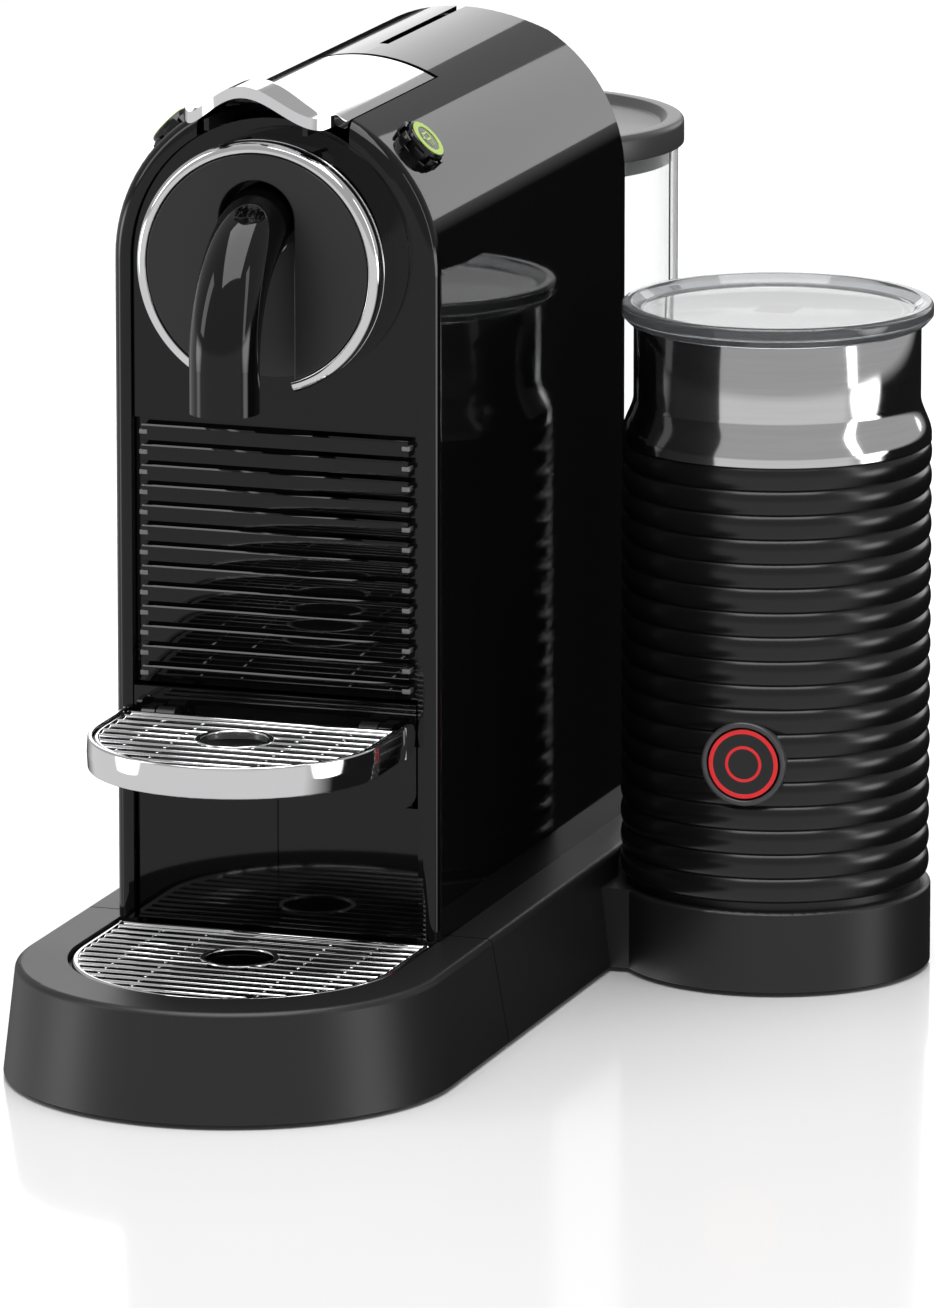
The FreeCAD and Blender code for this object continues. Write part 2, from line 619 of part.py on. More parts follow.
def lever_yoke():
    """Inner block of the lever: two lugs that turn on the hinge pin, and a skirt on each side."""
    under_cover = lengthwise(0, SHELL_CENTRE, 0, 100, LEVER_INNER - 0.05)
    block = wide(16, LEVER_Y - 6, LEVER_Y + 6, LEVER_Z + 3, 290).common(under_cover)
    lugs = both_sides(box(12, 16, LEVER_Y - 4, LEVER_Y + 4, LEVER_Z, LEVER_Z + 4))
    eyes = both_sides(crosswise(LEVER_Y, LEVER_Z, 12, 16, LEVER_EYE))
    skirt = box(SKIRT_INSIDE, SKIRT_OUTSIDE, -20, LEVER_Y - 4, SKIRT_BOTTOM, 290)
    skirts = both_sides(skirt.common(lengthwise(0, SHELL_CENTRE, -30, 100, LEVER_INNER - 0.05)))
    yoke = joined([block] + lugs + eyes + skirts)
    return yoke.cut(crosswise(LEVER_Y, LEVER_Z, -30, 30, PIN_RADIUS + RUNNING))


# ---------------------------------------------------------------- buttons

def button_cap(side):
    cap = upright(0, 0, BUTTON_FOOT, BUTTON_FACE, BUTTON_RADIUS)
    cap = cap.makeFillet(0.5, top_edges(cap, BUTTON_FACE))
    stem = upright(0, 0, STEM_FOOT, BUTTON_FOOT, 2.0)
    return button_placed(joined([cap, stem]), side)


def button_collars():
    collar = upright_ring(0, 0, COLLAR_FOOT, COLLAR_TOP, COLLAR_RADIUS, COLLAR_INNER)
    return [button_placed(collar, side) for side in (-1, 1)]


def button_switches():
    switch = wide(5, -3, 3, 36.5, 43.0)
    return [button_placed(switch, side) for side in (-1, 1)]


# ---------------------------------------------------------------- water system and electronics

def pump_body():
    tube = lengthwise(0, PUMP_Z, PUMP_FRONT, PUMP_REAR, 9)
    bore = lengthwise(0, PUMP_Z, PUMP_FRONT + 6, PUMP_REAR - 6, PLUNGER_RADIUS + RUNNING)
    stub = lengthwise(0, PUMP_Z, PUMP_REAR, PUMP_REAR + 3, 4)
    nose = lengthwise(0, PUMP_Z, PUMP_FRONT - 5, PUMP_FRONT, 4)
    return joined([tube, stub, nose]).cut(bore)


def pump_coil():
    block = wide(19, PUMP_FRONT + 12, PUMP_REAR - 12, PUMP_Z - 19, PUMP_Z + 19)
    return block.cut(lengthwise(0, PUMP_Z, PUMP_FRONT, PUMP_REAR, 9.1))


def pump_plunger():
    return lengthwise(0, PUMP_Z, PUMP_FRONT + 16, PUMP_REAR - 12, PLUNGER_RADIUS)


def pump_mounts():
    """Rubber saddles that carry the pump on the deck."""
    saddles = []
    for y in (PUMP_FRONT + 3, PUMP_REAR - 8):
        saddle = wide(7, y, y + 5, DECK_TOP, PUMP_Z)
        saddles.append(saddle.cut(lengthwise(0, PUMP_Z, y - 1, y + 6, 9.05)))
    return saddles


def flow_meter():
    return upright(METER_X, METER_Y, DECK_TOP, METER_TOP, METER_RADIUS)


def thermoblock():
    block = wide(21, 50, HEATER_REAR, DECK_TOP, 183)
    block = block.makeFillet(4, [edge for edge in block.Edges if edge.BoundBox.ZLength > 70])
    outlet = upright(0, 62, 183, 188, 4)
    return joined([block, outlet])


def control_board():
    return box(40, 41.6, 62, 150, 110, 214)


def board_parts():
    """Transformer, relay and two capacitors, each standing on the board."""
    blocks = [
        box(26, 40, 96, 122, 160, 188),
        box(30, 40, 70, 84, 176, 192),
        crosswise(100, 204, 28, 40, 5.5),
        crosswise(116, 204, 28, 40, 5.5),
    ]
    return blocks


def water_hoses():
    """Tank to flow meter, flow meter to pump, and pump to heater."""
    low = 8.5
    from_tank = pipe([V(0, TANK_Y, 16.0), V(0, TANK_Y, low), V(METER_X, METER_Y, low),
                      V(METER_X, METER_Y, DECK_TOP)], HOSE_RADIUS, 6.0)
    behind = PUMP_REAR + 7
    to_pump = pipe([V(METER_X, METER_Y, METER_TOP), V(METER_X, METER_Y, PUMP_Z), V(METER_X, behind, PUMP_Z),
                    V(0, behind, PUMP_Z), V(0, PUMP_REAR + 3, PUMP_Z)], HOSE_RADIUS, 3.2)
    to_heater = lengthwise(0, PUMP_Z, HEATER_REAR, PUMP_FRONT - 5, HOSE_RADIUS)
    return [from_tank, to_pump, to_heater]


# ---------------------------------------------------------------- tray module

def tray_front():
    block = base_block().common(before_seam(-SEAM_GAP / 2))
    block = block.cut(round_front(TRAY_CAVITY, TRAY_ARC, -3.0, 4.0, BASE_TOP + 1))
    return block.cut(wide(43.2, TRAY_ARC, 30, 4.0, BASE_TOP + 1))


def inner_tray():
    wall = 1.6
    low = 4.3
    front_outside = round_front(TRAY_CAVITY - 0.3, TRAY_ARC, -3.4, low, GRID_BOTTOM)
    rear_outside = wide(42.6, -20, 108, low, BASE_TOP - 0.4)
    rear_outside = rear_outside.cut(wide(50, -30, -1, GRID_BOTTOM, 50))
    front_inside = round_front(TRAY_CAVITY - 0.3 - wall, TRAY_ARC, -3.4 - wall, low + wall, 60)
    rear_inside = wide(42.6 - wall, -20, 108 - wall, low + wall, 60)
    tray = joined([front_outside, rear_outside]).cut(joined([front_inside, rear_inside]))
    ribs = [wide(42.6 - wall, y, y + 2, low + wall, BASE_TOP + SHELL_GAP) for y in (16, 90)]
    return joined([tray] + ribs)


def capsule_container():
    wall = 1.8
    low = BASE_TOP + SHELL_GAP
    outside = wide(CONTAINER_HALF, -0.8, 104, low, CONTAINER_TOP)
    corners = [edge for edge in outside.Edges if edge.BoundBox.ZLength > 50 and edge.BoundBox.YMin > 50]
    outside = outside.makeFillet(8, corners)
    return outside.cut(wide(CONTAINER_HALF - wall, -0.8 + wall, 104 - wall, low + wall, FAR))


def container_front():
    """Gloss lower panel, split into two leaves by a fine upright groove."""
    panel = wide(42.8, -3.0, -0.8, BASE_TOP + SHELL_GAP, HINGE_PANEL_BOTTOM - 0.4)
    return panel.cut(wide(0.25, -3.5, -2.5, 0, FAR))


def hinge_panel():
    panel = wide(42.8, HINGE_PANEL_FRONT, -0.8, HINGE_PANEL_BOTTOM, HINGE_PANEL_TOP)
    low_corners = []
    for edge in panel.Edges:
        runs_back = edge.BoundBox.YLength > 3 and edge.BoundBox.ZLength < 0.1
        if runs_back and edge.BoundBox.ZMax < HINGE_PANEL_BOTTOM + 1:
            low_corners.append(edge)
    panel = panel.makeFillet(5, low_corners)
    lug = crosswise(SHELF_HINGE_Y, SHELF_HINGE_Z, 34, 38, 4)
    lug = lug.fuse(box(34, 38, SHELF_HINGE_Y, HINGE_PANEL_FRONT, SHELF_HINGE_Z - 4, SHELF_HINGE_Z + 3.4))
    whole = joined([panel] + both_sides(lug))
    return whole.cut(crosswise(SHELF_HINGE_Y, SHELF_HINGE_Z, -50, 50, SHELF_PIN + 0.02))


def cup_hinge_pins():
    return both_sides(crosswise(SHELF_HINGE_Y, SHELF_HINGE_Z, 27.5, 38.4, SHELF_PIN))


# ---------------------------------------------------------------- grids and cup shelf

def barred_grid(half, centre_y, rear_y, z0, z1, bars, hole_x, hole_y, hole_radius):
    """Flat grid with a round front: rim, cross bars, and a ring round the hole."""
    rim_width = 1.8
    rim = round_front(half, centre_y, rear_y, z0, z1)
    rim = rim.cut(round_front(half - rim_width, centre_y, rear_y - rim_width, z0 - 1, z1 + 1))
    area = round_front(half - 0.2, centre_y, rear_y - 0.2, z0, z1)
    front_y = centre_y - half
    pitch = (rear_y - front_y) / (bars + 1)
    pieces = [rim]
    for number in range(bars):
        y = front_y + pitch * (number + 1)
        pieces.append(wide(half, y - BAR_WIDTH / 2, y + BAR_WIDTH / 2, z0 + 0.2, z1 - 0.1).common(area))
    pieces.append(upright(hole_x, hole_y, z0, z1, hole_radius + 2))
    return joined(pieces).cut(upright(hole_x, hole_y, z0 - 1, z1 + 1, hole_radius))


def drip_grid():
    return barred_grid(GRID_RADIUS, TRAY_ARC, -6.2, GRID_BOTTOM, GRID_TOP, GRID_BARS, 0, GRID_HOLE_Y, GRID_HOLE)


def cup_grid():
    return barred_grid(SHELF_HALF - 1.8, SHELF_ARC, SHELF_REAR, SHELF_TOP - 3, SHELF_TOP - 0.5, SHELF_BARS,
                       0, -40.0, GRID_HOLE)


def cup_band():
    wall = 1.6
    inner = SHELF_HALF - wall
    band = round_front(SHELF_HALF, SHELF_ARC, -14.5, SHELF_BOTTOM, SHELF_TOP)
    band = band.cut(round_front(inner, SHELF_ARC, 0, SHELF_BOTTOM - 1, SHELF_TOP + 1))
    ends = both_sides(box(inner, SHELF_HALF, -14.5, SHELF_HINGE_Y, SHELF_HINGE_Z - 4, SHELF_HINGE_Z + 4))
    rounds = both_sides(crosswise(SHELF_HINGE_Y, SHELF_HINGE_Z, inner, SHELF_HALF, 4))
    return joined([band] + ends + rounds)


def cup_support_frame():
    plate = round_front(SHELF_HALF - 1.8, SHELF_ARC, SHELF_REAR, SHELF_BOTTOM + 0.8, 92.0)
    posts = []
    for x, y in ((-36, -30), (36, -30), (-20, -70), (20, -70)):
        posts.append(upright(x, y, 92.0, SHELF_TOP - 3, 2.5))
    knuckles = both_sides(crosswise(SHELF_HINGE_Y, SHELF_HINGE_Z, 28, 33.5, 4))
    tabs = both_sides(box(28, 33.5, SHELF_REAR - 1, SHELF_HINGE_Y, SHELF_HINGE_Z - 4, SHELF_HINGE_Z + 0.9))
    frame = joined([plate] + posts + knuckles + tabs)
    return frame.cut(crosswise(SHELF_HINGE_Y, SHELF_HINGE_Z, -50, 50, SHELF_PIN + RUNNING))


# ---------------------------------------------------------------- water tank

def tank():
    inner = TANK_RADIUS - TANK_WALL
    outline = [
        (6.0, TANK_BOTTOM), (TANK_RADIUS - 3, TANK_BOTTOM), (TANK_RADIUS, TANK_BOTTOM + 3),
        (TANK_RADIUS, TANK_TOP), (inner, TANK_TOP), (inner, TANK_BOTTOM + 4), (inner - 2, TANK_BOTTOM + 2.4),
        (8.0, TANK_BOTTOM + 2.4), (8.0, TANK_BOTTOM + 10), (6.0, TANK_BOTTOM + 10),
    ]
    return turned(outline, 0, TANK_Y)


def tank_valve():
    return upright(0, TANK_Y, TANK_BOTTOM + 0.4, TANK_BOTTOM + 6, VALVE_RADIUS)


def tank_lid():
    skirt_inner = TANK_RADIUS + 0.4
    outline = [
        (0, TANK_TOP + 0.2), (44.6, TANK_TOP + 0.2), (44.6, TANK_TOP - 7), (46.6, TANK_TOP - 7),
        (46.6, TANK_TOP), (skirt_inner, TANK_TOP), (skirt_inner, TANK_TOP - 2), (LID_RADIUS, TANK_TOP - 2),
        (LID_RADIUS, LID_TOP - 2), (LID_RADIUS - 2, LID_TOP), (LID_RADIUS - 5, LID_TOP),
        (LID_RADIUS - 7, LID_TOP - 2.2),
        (0, LID_TOP - 2.2),
    ]
    return turned(outline, 0, TANK_Y)


# ---------------------------------------------------------------- frother

def rib_outline():
    """Ribbed outside of the sleeve, from bottom to top: three points to each round rib."""
    pitch = (SLEEVE_TOP - SLEEVE_BOTTOM) / RIB_COUNT
    points = [(SLEEVE_VALLEY, SLEEVE_BOTTOM)]
    for number in range(RIB_COUNT):
        low = SLEEVE_BOTTOM + number * pitch
        points.append((SLEEVE_RADIUS - 0.25, low + pitch * 0.25))
        points.append((SLEEVE_RADIUS, low + pitch * 0.5))
        points.append((SLEEVE_RADIUS - 0.25, low + pitch * 0.75))
        points.append((SLEEVE_VALLEY, low + pitch))
    return points


def frother_radial(solid):
    """Turn a solid drawn straight ahead of the frother's axis to the button's direction."""
    placed = solid.copy()
    placed.rotate(V(FROTHER_X, FROTHER_Y, 0), V(0, 0, 1), FROTHER_BUTTON_ANGLE)
    return placed


def ahead(near, far, radius):
    """A rod that points straight ahead from the frother's axis at the button's height."""
    rod = lengthwise(FROTHER_X, FROTHER_BUTTON_Z, FROTHER_Y - far, FROTHER_Y - near, radius)
    return frother_radial(rod)


def frother_sleeve():
    outline = rib_outline() + [(SLEEVE_INNER, SLEEVE_TOP), (SLEEVE_INNER, SLEEVE_BOTTOM)]
    sleeve = turned(outline, FROTHER_X, FROTHER_Y)
    return sleeve.cut(ahead(20, 60, 12.6))


def frother_bottom():
    outline = [(9.8, PEDESTAL_TOP), (43.0, PEDESTAL_TOP), (43.0, SLEEVE_BOTTOM), (42.4, SLEEVE_BOTTOM),
               (42.4, 31.0), (9.8, 31.0)]
    return turned(outline, FROTHER_X, FROTHER_Y)


def frother_collar():
    wall = 1.0
    outline = [
        (45.3, SLEEVE_TOP), (45.5, SLEEVE_TOP + 4), (45.0, SLEEVE_TOP + 7.5), (43.4, SLEEVE_TOP + 10.5),
        (NECK_RADIUS, NECK_BOTTOM), (NECK_RADIUS, NECK_TOP), (NECK_RADIUS - wall, NECK_TOP),
        (NECK_RADIUS - wall, NECK_BOTTOM - 0.5), (42.6, SLEEVE_TOP + 9.5), (43.8, SLEEVE_TOP + 7),
        (44.3, SLEEVE_TOP + 4), (44.1, SLEEVE_TOP),
    ]
    return turned(outline, FROTHER_X, FROTHER_Y)


def frother_pot():
    outline = [
        (0, POT_BOTTOM), (POT_RADIUS - 4, POT_BOTTOM), (POT_RADIUS, POT_BOTTOM + 4), (POT_RADIUS, NECK_TOP),
        (POT_INNER, NECK_TOP), (POT_INNER, POT_BOTTOM + 5), (POT_INNER - 4, POT_BOTTOM + 1.2),
        (WHISK_SPINDLE, POT_BOTTOM + 1.2), (WHISK_SPINDLE, POT_BOTTOM + 10), (0, POT_BOTTOM + 10),
    ]
    return turned(outline, FROTHER_X, FROTHER_Y)


def frother_motor():
    motor = upright(FROTHER_X, FROTHER_Y, 31.0, 54.0, 13)
    return motor.cut(upright(FROTHER_X, FROTHER_Y, 44.0, 55.0, 2.0 + RUNNING))


def drive_magnet():
    shaft = upright(FROTHER_X, FROTHER_Y, 44.4, 60.0, 2.0)
    return joined([shaft, upright(FROTHER_X, FROTHER_Y, 60.0, 65.0, 14.0)])


def frother_button_bezel():
    return ahead(41.5, 46.9, 12.5).cut(ahead(41, 48, 10.9))


def frother_button():
    return ahead(42.0, 46.4, 10.5)


def frother_lid():
    rim = FROTHER_LID_RADIUS
    outline = [
        (0, 194.6), (37.0, 194.6), (37.0, 187.0), (38.6, 187.0), (38.6, NECK_TOP), (rim - 2, NECK_TOP),
        (rim, NECK_TOP + 2), (rim, FROTHER_LID_TOP - 1.2), (rim - 1.2, FROTHER_LID_TOP),
        (rim - 3, FROTHER_LID_TOP), (rim - 5.5, 196.6), (0, 196.6),
    ]
    return turned(outline, FROTHER_X, FROTHER_Y)


def frother_lid_clip():
    """Store for the spare whisk under the lid."""
    x, y = FROTHER_X, FROTHER_Y
    return box(x - 6, x + 6, y - 6, y + 6, 188.0, 194.6)


def whisk():
    """Hub that turns on the spindle, with its coil ring on three arms."""
    hub = upright(FROTHER_X, FROTHER_Y, POT_BOTTOM + 1.7, POT_BOTTOM + 13, 4.5)
    hub = hub.cut(upright(FROTHER_X, FROTHER_Y, POT_BOTTOM, POT_BOTTOM + 11, WHISK_SPINDLE + RUNNING))
    ring_radius = 15.0
    ring_z = POT_BOTTOM + 5
    ring = Part.makeTorus(ring_radius, 2.0, V(FROTHER_X, FROTHER_Y, ring_z))
    pieces = [hub, ring]
    for number in range(3):
        arm = box(FROTHER_X + 3.5, FROTHER_X + ring_radius, FROTHER_Y - 1, FROTHER_Y + 1, ring_z - 1, ring_z + 1)
        arm.rotate(V(FROTHER_X, FROTHER_Y, 0), V(0, 0, 1), 120 * number)
        pieces.append(arm)
    return joined(pieces)


# ---------------------------------------------------------------- all pieces

def all_pieces():
    return {
        "base_shell": base_shell(),
        "base_plate": base_plate(),
        "feet": feet(),
        "base_screws": base_screws(),
        "cord_grommet": cord_grommet(),
        "base_connectors": [tank_connector(), frother_connector()],
        "chassis_frame": chassis_frame(),
        "side_shell_left": side_shell(-1),
        "side_shell_right": side_shell(1),
        "front_bezel": front_bezel(),
        "rear_wall": rear_wall(),
        "front_panel": front_panel(),
        "louvre_slats": louvre_slats(),
        "brew_ring": brew_ring(),
        "brew_disc": brew_disc(),
        "coffee_spout": coffee_spout(),
        "spout_nozzle": spout_nozzle(),
        "brew_housing": brew_housing(),
        "pierce_plate": pierce_plate(),
        "lever_pin": lever_pin(),
        "capsule_cage": capsule_cage(),
        "cage_seal": cage_seal(),
        "lever_cover": lever_cover(),
        "lever_yoke": lever_yoke(),
        "button_cap_left": button_cap(-1),
        "button_cap_right": button_cap(1),
        "button_collars": button_collars(),
        "button_switches": button_switches(),
        "pump_body": pump_body(),
        "pump_coil": pump_coil(),
        "pump_plunger": pump_plunger(),
        "pump_mounts": pump_mounts(),
        "flow_meter": flow_meter(),
        "thermoblock": thermoblock(),
        "control_board": [control_board()] + board_parts(),
        "water_hoses": water_hoses(),
        "tray_front": tray_front(),
        "inner_tray": inner_tray(),
        "capsule_container": capsule_container(),
        "container_front": container_front(),
        "hinge_panel": hinge_panel(),
        "cup_hinge_pins": cup_hinge_pins(),
        "drip_grid": drip_grid(),
        "cup_support_frame": cup_support_frame(),
        "cup_band": cup_band(),
        "cup_grid": cup_grid(),
        "tank": tank(),
        "tank_valve": tank_valve(),
        "tank_lid": tank_lid(),
        "frother_sleeve": frother_sleeve(),
        "frother_bottom": frother_bottom(),
        "frother_collar": frother_collar(),
        "frother_pot": frother_pot(),
        "frother_motor": frother_motor(),
        "drive_magnet": drive_magnet(),
        "frother_button_bezel": frother_button_bezel(),
        "frother_button": frother_button(),
        "frother_lid": frother_lid(),
        "frother_lid_clip": frother_lid_clip(),
        "whisk": whisk(),
    }


def write(name, shape):
    if isinstance(shape, list):
        shape = Part.makeCompound(shape)
    placed = shape.copy()
    placed.translate(V(-ORIGIN_X, -ORIGIN_Y, 0))
    placed.exportStep(f"parts/{name}.step")
    print(f"{name}: {len(placed.Solids)} solid(s), {placed.Volume / 1000:.2f} cm3, valid {placed.isValid()}")


def main():
    os.makedirs("parts", exist_ok=True)
    for name, shape in all_pieces().items():
        write(name, shape)


main()
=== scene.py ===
import bmesh
import bpy
import json
import math
from mathutils import Matrix, Vector

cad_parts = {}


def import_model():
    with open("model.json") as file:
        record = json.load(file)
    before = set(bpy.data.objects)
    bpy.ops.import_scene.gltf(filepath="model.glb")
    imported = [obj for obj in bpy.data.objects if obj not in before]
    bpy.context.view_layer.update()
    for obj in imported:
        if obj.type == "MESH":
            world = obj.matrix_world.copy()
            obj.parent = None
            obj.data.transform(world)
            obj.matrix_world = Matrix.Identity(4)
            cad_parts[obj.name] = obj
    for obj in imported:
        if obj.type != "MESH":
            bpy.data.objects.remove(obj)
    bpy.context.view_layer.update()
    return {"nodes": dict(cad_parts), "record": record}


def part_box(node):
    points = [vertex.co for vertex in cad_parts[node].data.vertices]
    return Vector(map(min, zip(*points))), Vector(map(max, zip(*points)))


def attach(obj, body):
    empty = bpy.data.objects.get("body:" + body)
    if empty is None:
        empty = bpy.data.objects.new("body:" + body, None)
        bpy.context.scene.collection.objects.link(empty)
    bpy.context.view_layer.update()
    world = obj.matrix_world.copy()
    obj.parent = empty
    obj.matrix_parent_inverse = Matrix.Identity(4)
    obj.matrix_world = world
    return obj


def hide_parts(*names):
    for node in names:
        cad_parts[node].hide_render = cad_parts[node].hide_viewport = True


# Looks of a pod coffee machine with a milk frother beside it.
# Pieces are drawn in millimetres about the machine's own axis: x = 0 is the middle of the brewing body,
# y = 0 is the front edge of its side covers, the front looks along -Y, and z = 0 is the table.

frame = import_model()

MM = 0.001
AXIS_X = sum(corner.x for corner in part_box("front_bezel")) / 2
FRONT_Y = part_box("side_shell_left")[0].y
TO_ROW = Matrix.Translation((AXIS_X, FRONT_Y, 0)) @ Matrix.Scale(MM, 4)
FROM_ROW = TO_ROW.inverted()


def place(node):
    """Lowest and highest corners of a CAD node, in millimetres about the machine's axis."""
    low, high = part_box(node)
    return FROM_ROW @ low, FROM_ROW @ high


def middle(node):
    low, high = place(node)
    return (low + high) / 2


# ---- sizes in mm that the frame's boxes don't give ----
ARCH_RADIUS = place("front_bezel")[1].x
ARCH_CENTRE = place("side_shell_left")[1].z - ARCH_RADIUS
FROTHER = middle("frother_pot")

LEVER_PLATE = 2.0           # thickness of the lever's plate, and of its lip
LIP_THICKNESS = 3.3
LIP_ROLL_START = -6.0       # where the plate leaves the arch and rolls up into the lip
LIP_ROLL_END = -17.0
LIP_DIP = 273.6
LIP_HALF_WAVE = 20.0
LIP_WAVE_POWER = 1.6        # above 1 the wave's foot is softer than a plain cosine's
LIP_CORNER_RISE = 0.6
LIP_CORNER_Y = -17.0

RING_GAP_HALF = 11.2        # half width of the spout's slot through the ring
RING_WIDTH = 3.2
RING_GROOVE = 4.9           # how far behind the ring's front the groove round it lies
RING_GROOVE_DEPTH = 0.6

SLAT_COUNT = 13
SLAT_HEIGHT = 4.9
SLAT_CHAMFER = 0.55
# Place and size of the small pale grey boxes that paint highlights on the slat ends
SLAT_HIGHLIGHT_X = 39.7
SLAT_HIGHLIGHT_HALF_WIDTH = 1.2
SLAT_HIGHLIGHT_HEIGHT = 1.3

BUTTON_ANGLE = math.radians(47.5)
BUTTON_Y = 16.0
BUTTON_FACE = 53.2          # distance of the face from the arch's centre line
BUTTON_DEPTH = 4.7
BUTTON_RADIUS = 6.5
COLLAR_TOP = 51.6
COLLAR_FOOT = 45.5
COLLAR_OUTER = 7.8
COLLAR_INNER = 6.8
COLLAR_NOTCH = 2.4
COLLAR_TEETH = 8
TOOTH_SWEEP = 27            # degrees

GRID_ARC = -38.0
GRID_BARS = 13
GRID_HOLE_Y = -36.5
SHELF_ARC = -37.0
SHELF_BARS = 9
SHELF_HOLE_Y = -40.0
HOLE_RADIUS = 9.8
HOLE_WALL = 1.6
RIM_RADIUS = 1.1
ROD_RADIUS = 0.7
WIRE_RADIUS = 0.5
WIRE_SHARES = (-0.7, -0.4, 0.4, 0.7)     # where wires run under the rods, as shares of the half width

BAND_WALL = 1.6
BAND_CROWN = 0.25           # how far the band's middle stands out from its edges
BAND_REAR = -14.5
EAR_THICKNESS = 1.5         # of the band's round rear ends

RIB_COUNT = 18
RIB_VALLEY = 44.4
SLEEVE_INNER = 42.6
NECK_RADIUS = 42.2
NECK_FOOT = 45.5
NECK_FOOT_INSIDE = 44.3
FROTHER_BUTTON_Z = 70.0
FROTHER_BUTTON_ANGLE = math.radians(5.5)
FRAME_OUTER = 12.5          # frame round the frother's button
FRAME_INNER = 10.9


# ---------------------------------------------------------------- mesh tools

def from_outline(points, closed=True):
    """A bmesh with one loop of edges through the points, and its edges."""
    bm = bmesh.new()
    verts = [bm.verts.new(point) for point in points]
    edges = [bm.edges.new(pair) for pair in zip(verts, verts[1:])]
    if closed:
        edges.append(bm.edges.new((verts[-1], verts[0])))
    return bm, edges


def filleted(corners, segments=5):
    """Closed outline with round corners; corners holds (u, v, radius)."""
    outline = []
    for number, (u, v, radius) in enumerate(corners):
        here = Vector((u, v))
        if radius == 0:
            outline.append(here)
            continue
        after = corners[(number + 1) % len(corners)]
        into = (here - Vector(corners[number - 1][:2])).normalized()
        out = (Vector(after[:2]) - here).normalized()
        turn = into.angle_signed(out)
        centre = here + (out - into).normalized() * radius / math.cos(turn / 2)
        spoke = here - into * radius * math.tan(abs(turn) / 2) - centre
        for step in range(segments + 1):
            outline.append(centre + Matrix.Rotation(-turn * step / segments, 2) @ spoke)
    return outline


def lathe(profile, steps=128, start=0.0, sweep=360.0, closed=True):
    """Turn a profile of (radius, height) about the Z axis."""
    bm, edges = from_outline([(radius, 0, height) for radius, height in profile], closed)
    bmesh.ops.rotate(bm, verts=bm.verts, cent=(0, 0, 0), matrix=Matrix.Rotation(math.radians(start), 3, "Z"))
    full = sweep == 360.0
    bmesh.ops.spin(
        bm, geom=bm.verts[:] + bm.edges[:], cent=(0, 0, 0), axis=(0, 0, 1),
        angle=math.radians(sweep), steps=steps, use_merge=full,
    )
    bmesh.ops.remove_doubles(bm, verts=bm.verts, dist=0.001)
    if not full:
        bmesh.ops.holes_fill(bm, edges=bm.edges)
    return bm


def prism(outline, depth):
    """Closed solid: a flat outline of (x, y) from z = 0 to z = depth."""
    bm, _ = from_outline([(u, v, 0) for u, v in outline])
    bmesh.ops.contextual_create(bm, geom=bm.edges[:])
    grown = bmesh.ops.extrude_face_region(bm, geom=bm.faces[:])
    moved = [item for item in grown["geom"] if isinstance(item, bmesh.types.BMVert)]
    bmesh.ops.translate(bm, verts=moved, vec=(0, 0, depth))
    return bm


def rod(start, end, radius, segments=12, rounding=0.3):
    """Round bar from start to end with softened ends."""
    start, end = Vector(start), Vector(end)
    bm = bmesh.new()
    bmesh.ops.create_cone(
        bm, cap_ends=True, cap_tris=False, segments=segments, radius1=radius, radius2=radius,
        depth=(end - start).length,
    )
    rims = [edge for edge in bm.edges if abs(edge.verts[0].co.z - edge.verts[1].co.z) < 0.001]
    bmesh.ops.bevel(
        bm, geom=rims, affect="EDGES", offset=rounding, segments=2, profile=0.5, material=-1,
    )
    turn = Vector((0, 0, 1)).rotation_difference(end - start).to_matrix().to_4x4()
    bm.transform(Matrix.Translation((start + end) / 2) @ turn)
    return bm


def block(low, high, rounding=0.2):
    """Box between two corners with softened edges."""
    low, high = Vector(low), Vector(high)
    bm = bmesh.new()
    bmesh.ops.create_cube(bm, size=1)
    bmesh.ops.scale(bm, vec=high - low, verts=bm.verts)
    bmesh.ops.translate(bm, vec=(low + high) / 2, verts=bm.verts)
    bmesh.ops.bevel(
        bm, geom=bm.edges[:], affect="EDGES", offset=rounding, segments=2, profile=0.5, material=-1,
    )
    return bm


def sweep_round_front(section, centre_y, rear_y, steps=64):
    """Draw a closed section of (distance from the middle, height) along a half-round front and two sides."""
    bm, edges = from_outline([(-reach, rear_y, height) for reach, height in section])
    ends = edges

    def grown(back):
        made = bmesh.ops.extrude_edge_only(bm, edges=ends)["geom"]
        verts = [item for item in made if isinstance(item, bmesh.types.BMVert)]
        bmesh.ops.translate(bm, verts=verts, vec=(0, back, 0))
        edges_made = [item for item in made if isinstance(item, bmesh.types.BMEdge)]
        return [edge for edge in edges_made if set(edge.verts) <= set(verts)]

    ends = grown(centre_y - rear_y)
    corners = list({vert for edge in ends for vert in edge.verts})
    turned = bmesh.ops.spin(
        bm, geom=ends + corners, cent=(0, centre_y, 0), axis=(0, 0, 1), angle=math.pi, steps=steps,
    )
    ends = [item for item in turned["geom_last"] if isinstance(item, bmesh.types.BMEdge)]
    grown(rear_y - centre_y)
    bmesh.ops.holes_fill(bm, edges=bm.edges)
    return bm


def joined(parts):
    """One bmesh from several."""
    whole = bmesh.new()
    for part in parts:
        piece = bpy.data.meshes.new("part")
        part.to_mesh(piece)
        part.free()
        whole.from_mesh(piece)
        bpy.data.meshes.remove(piece)
    return whole


def moved(bm, matrix):
    bm.transform(matrix)
    return bm


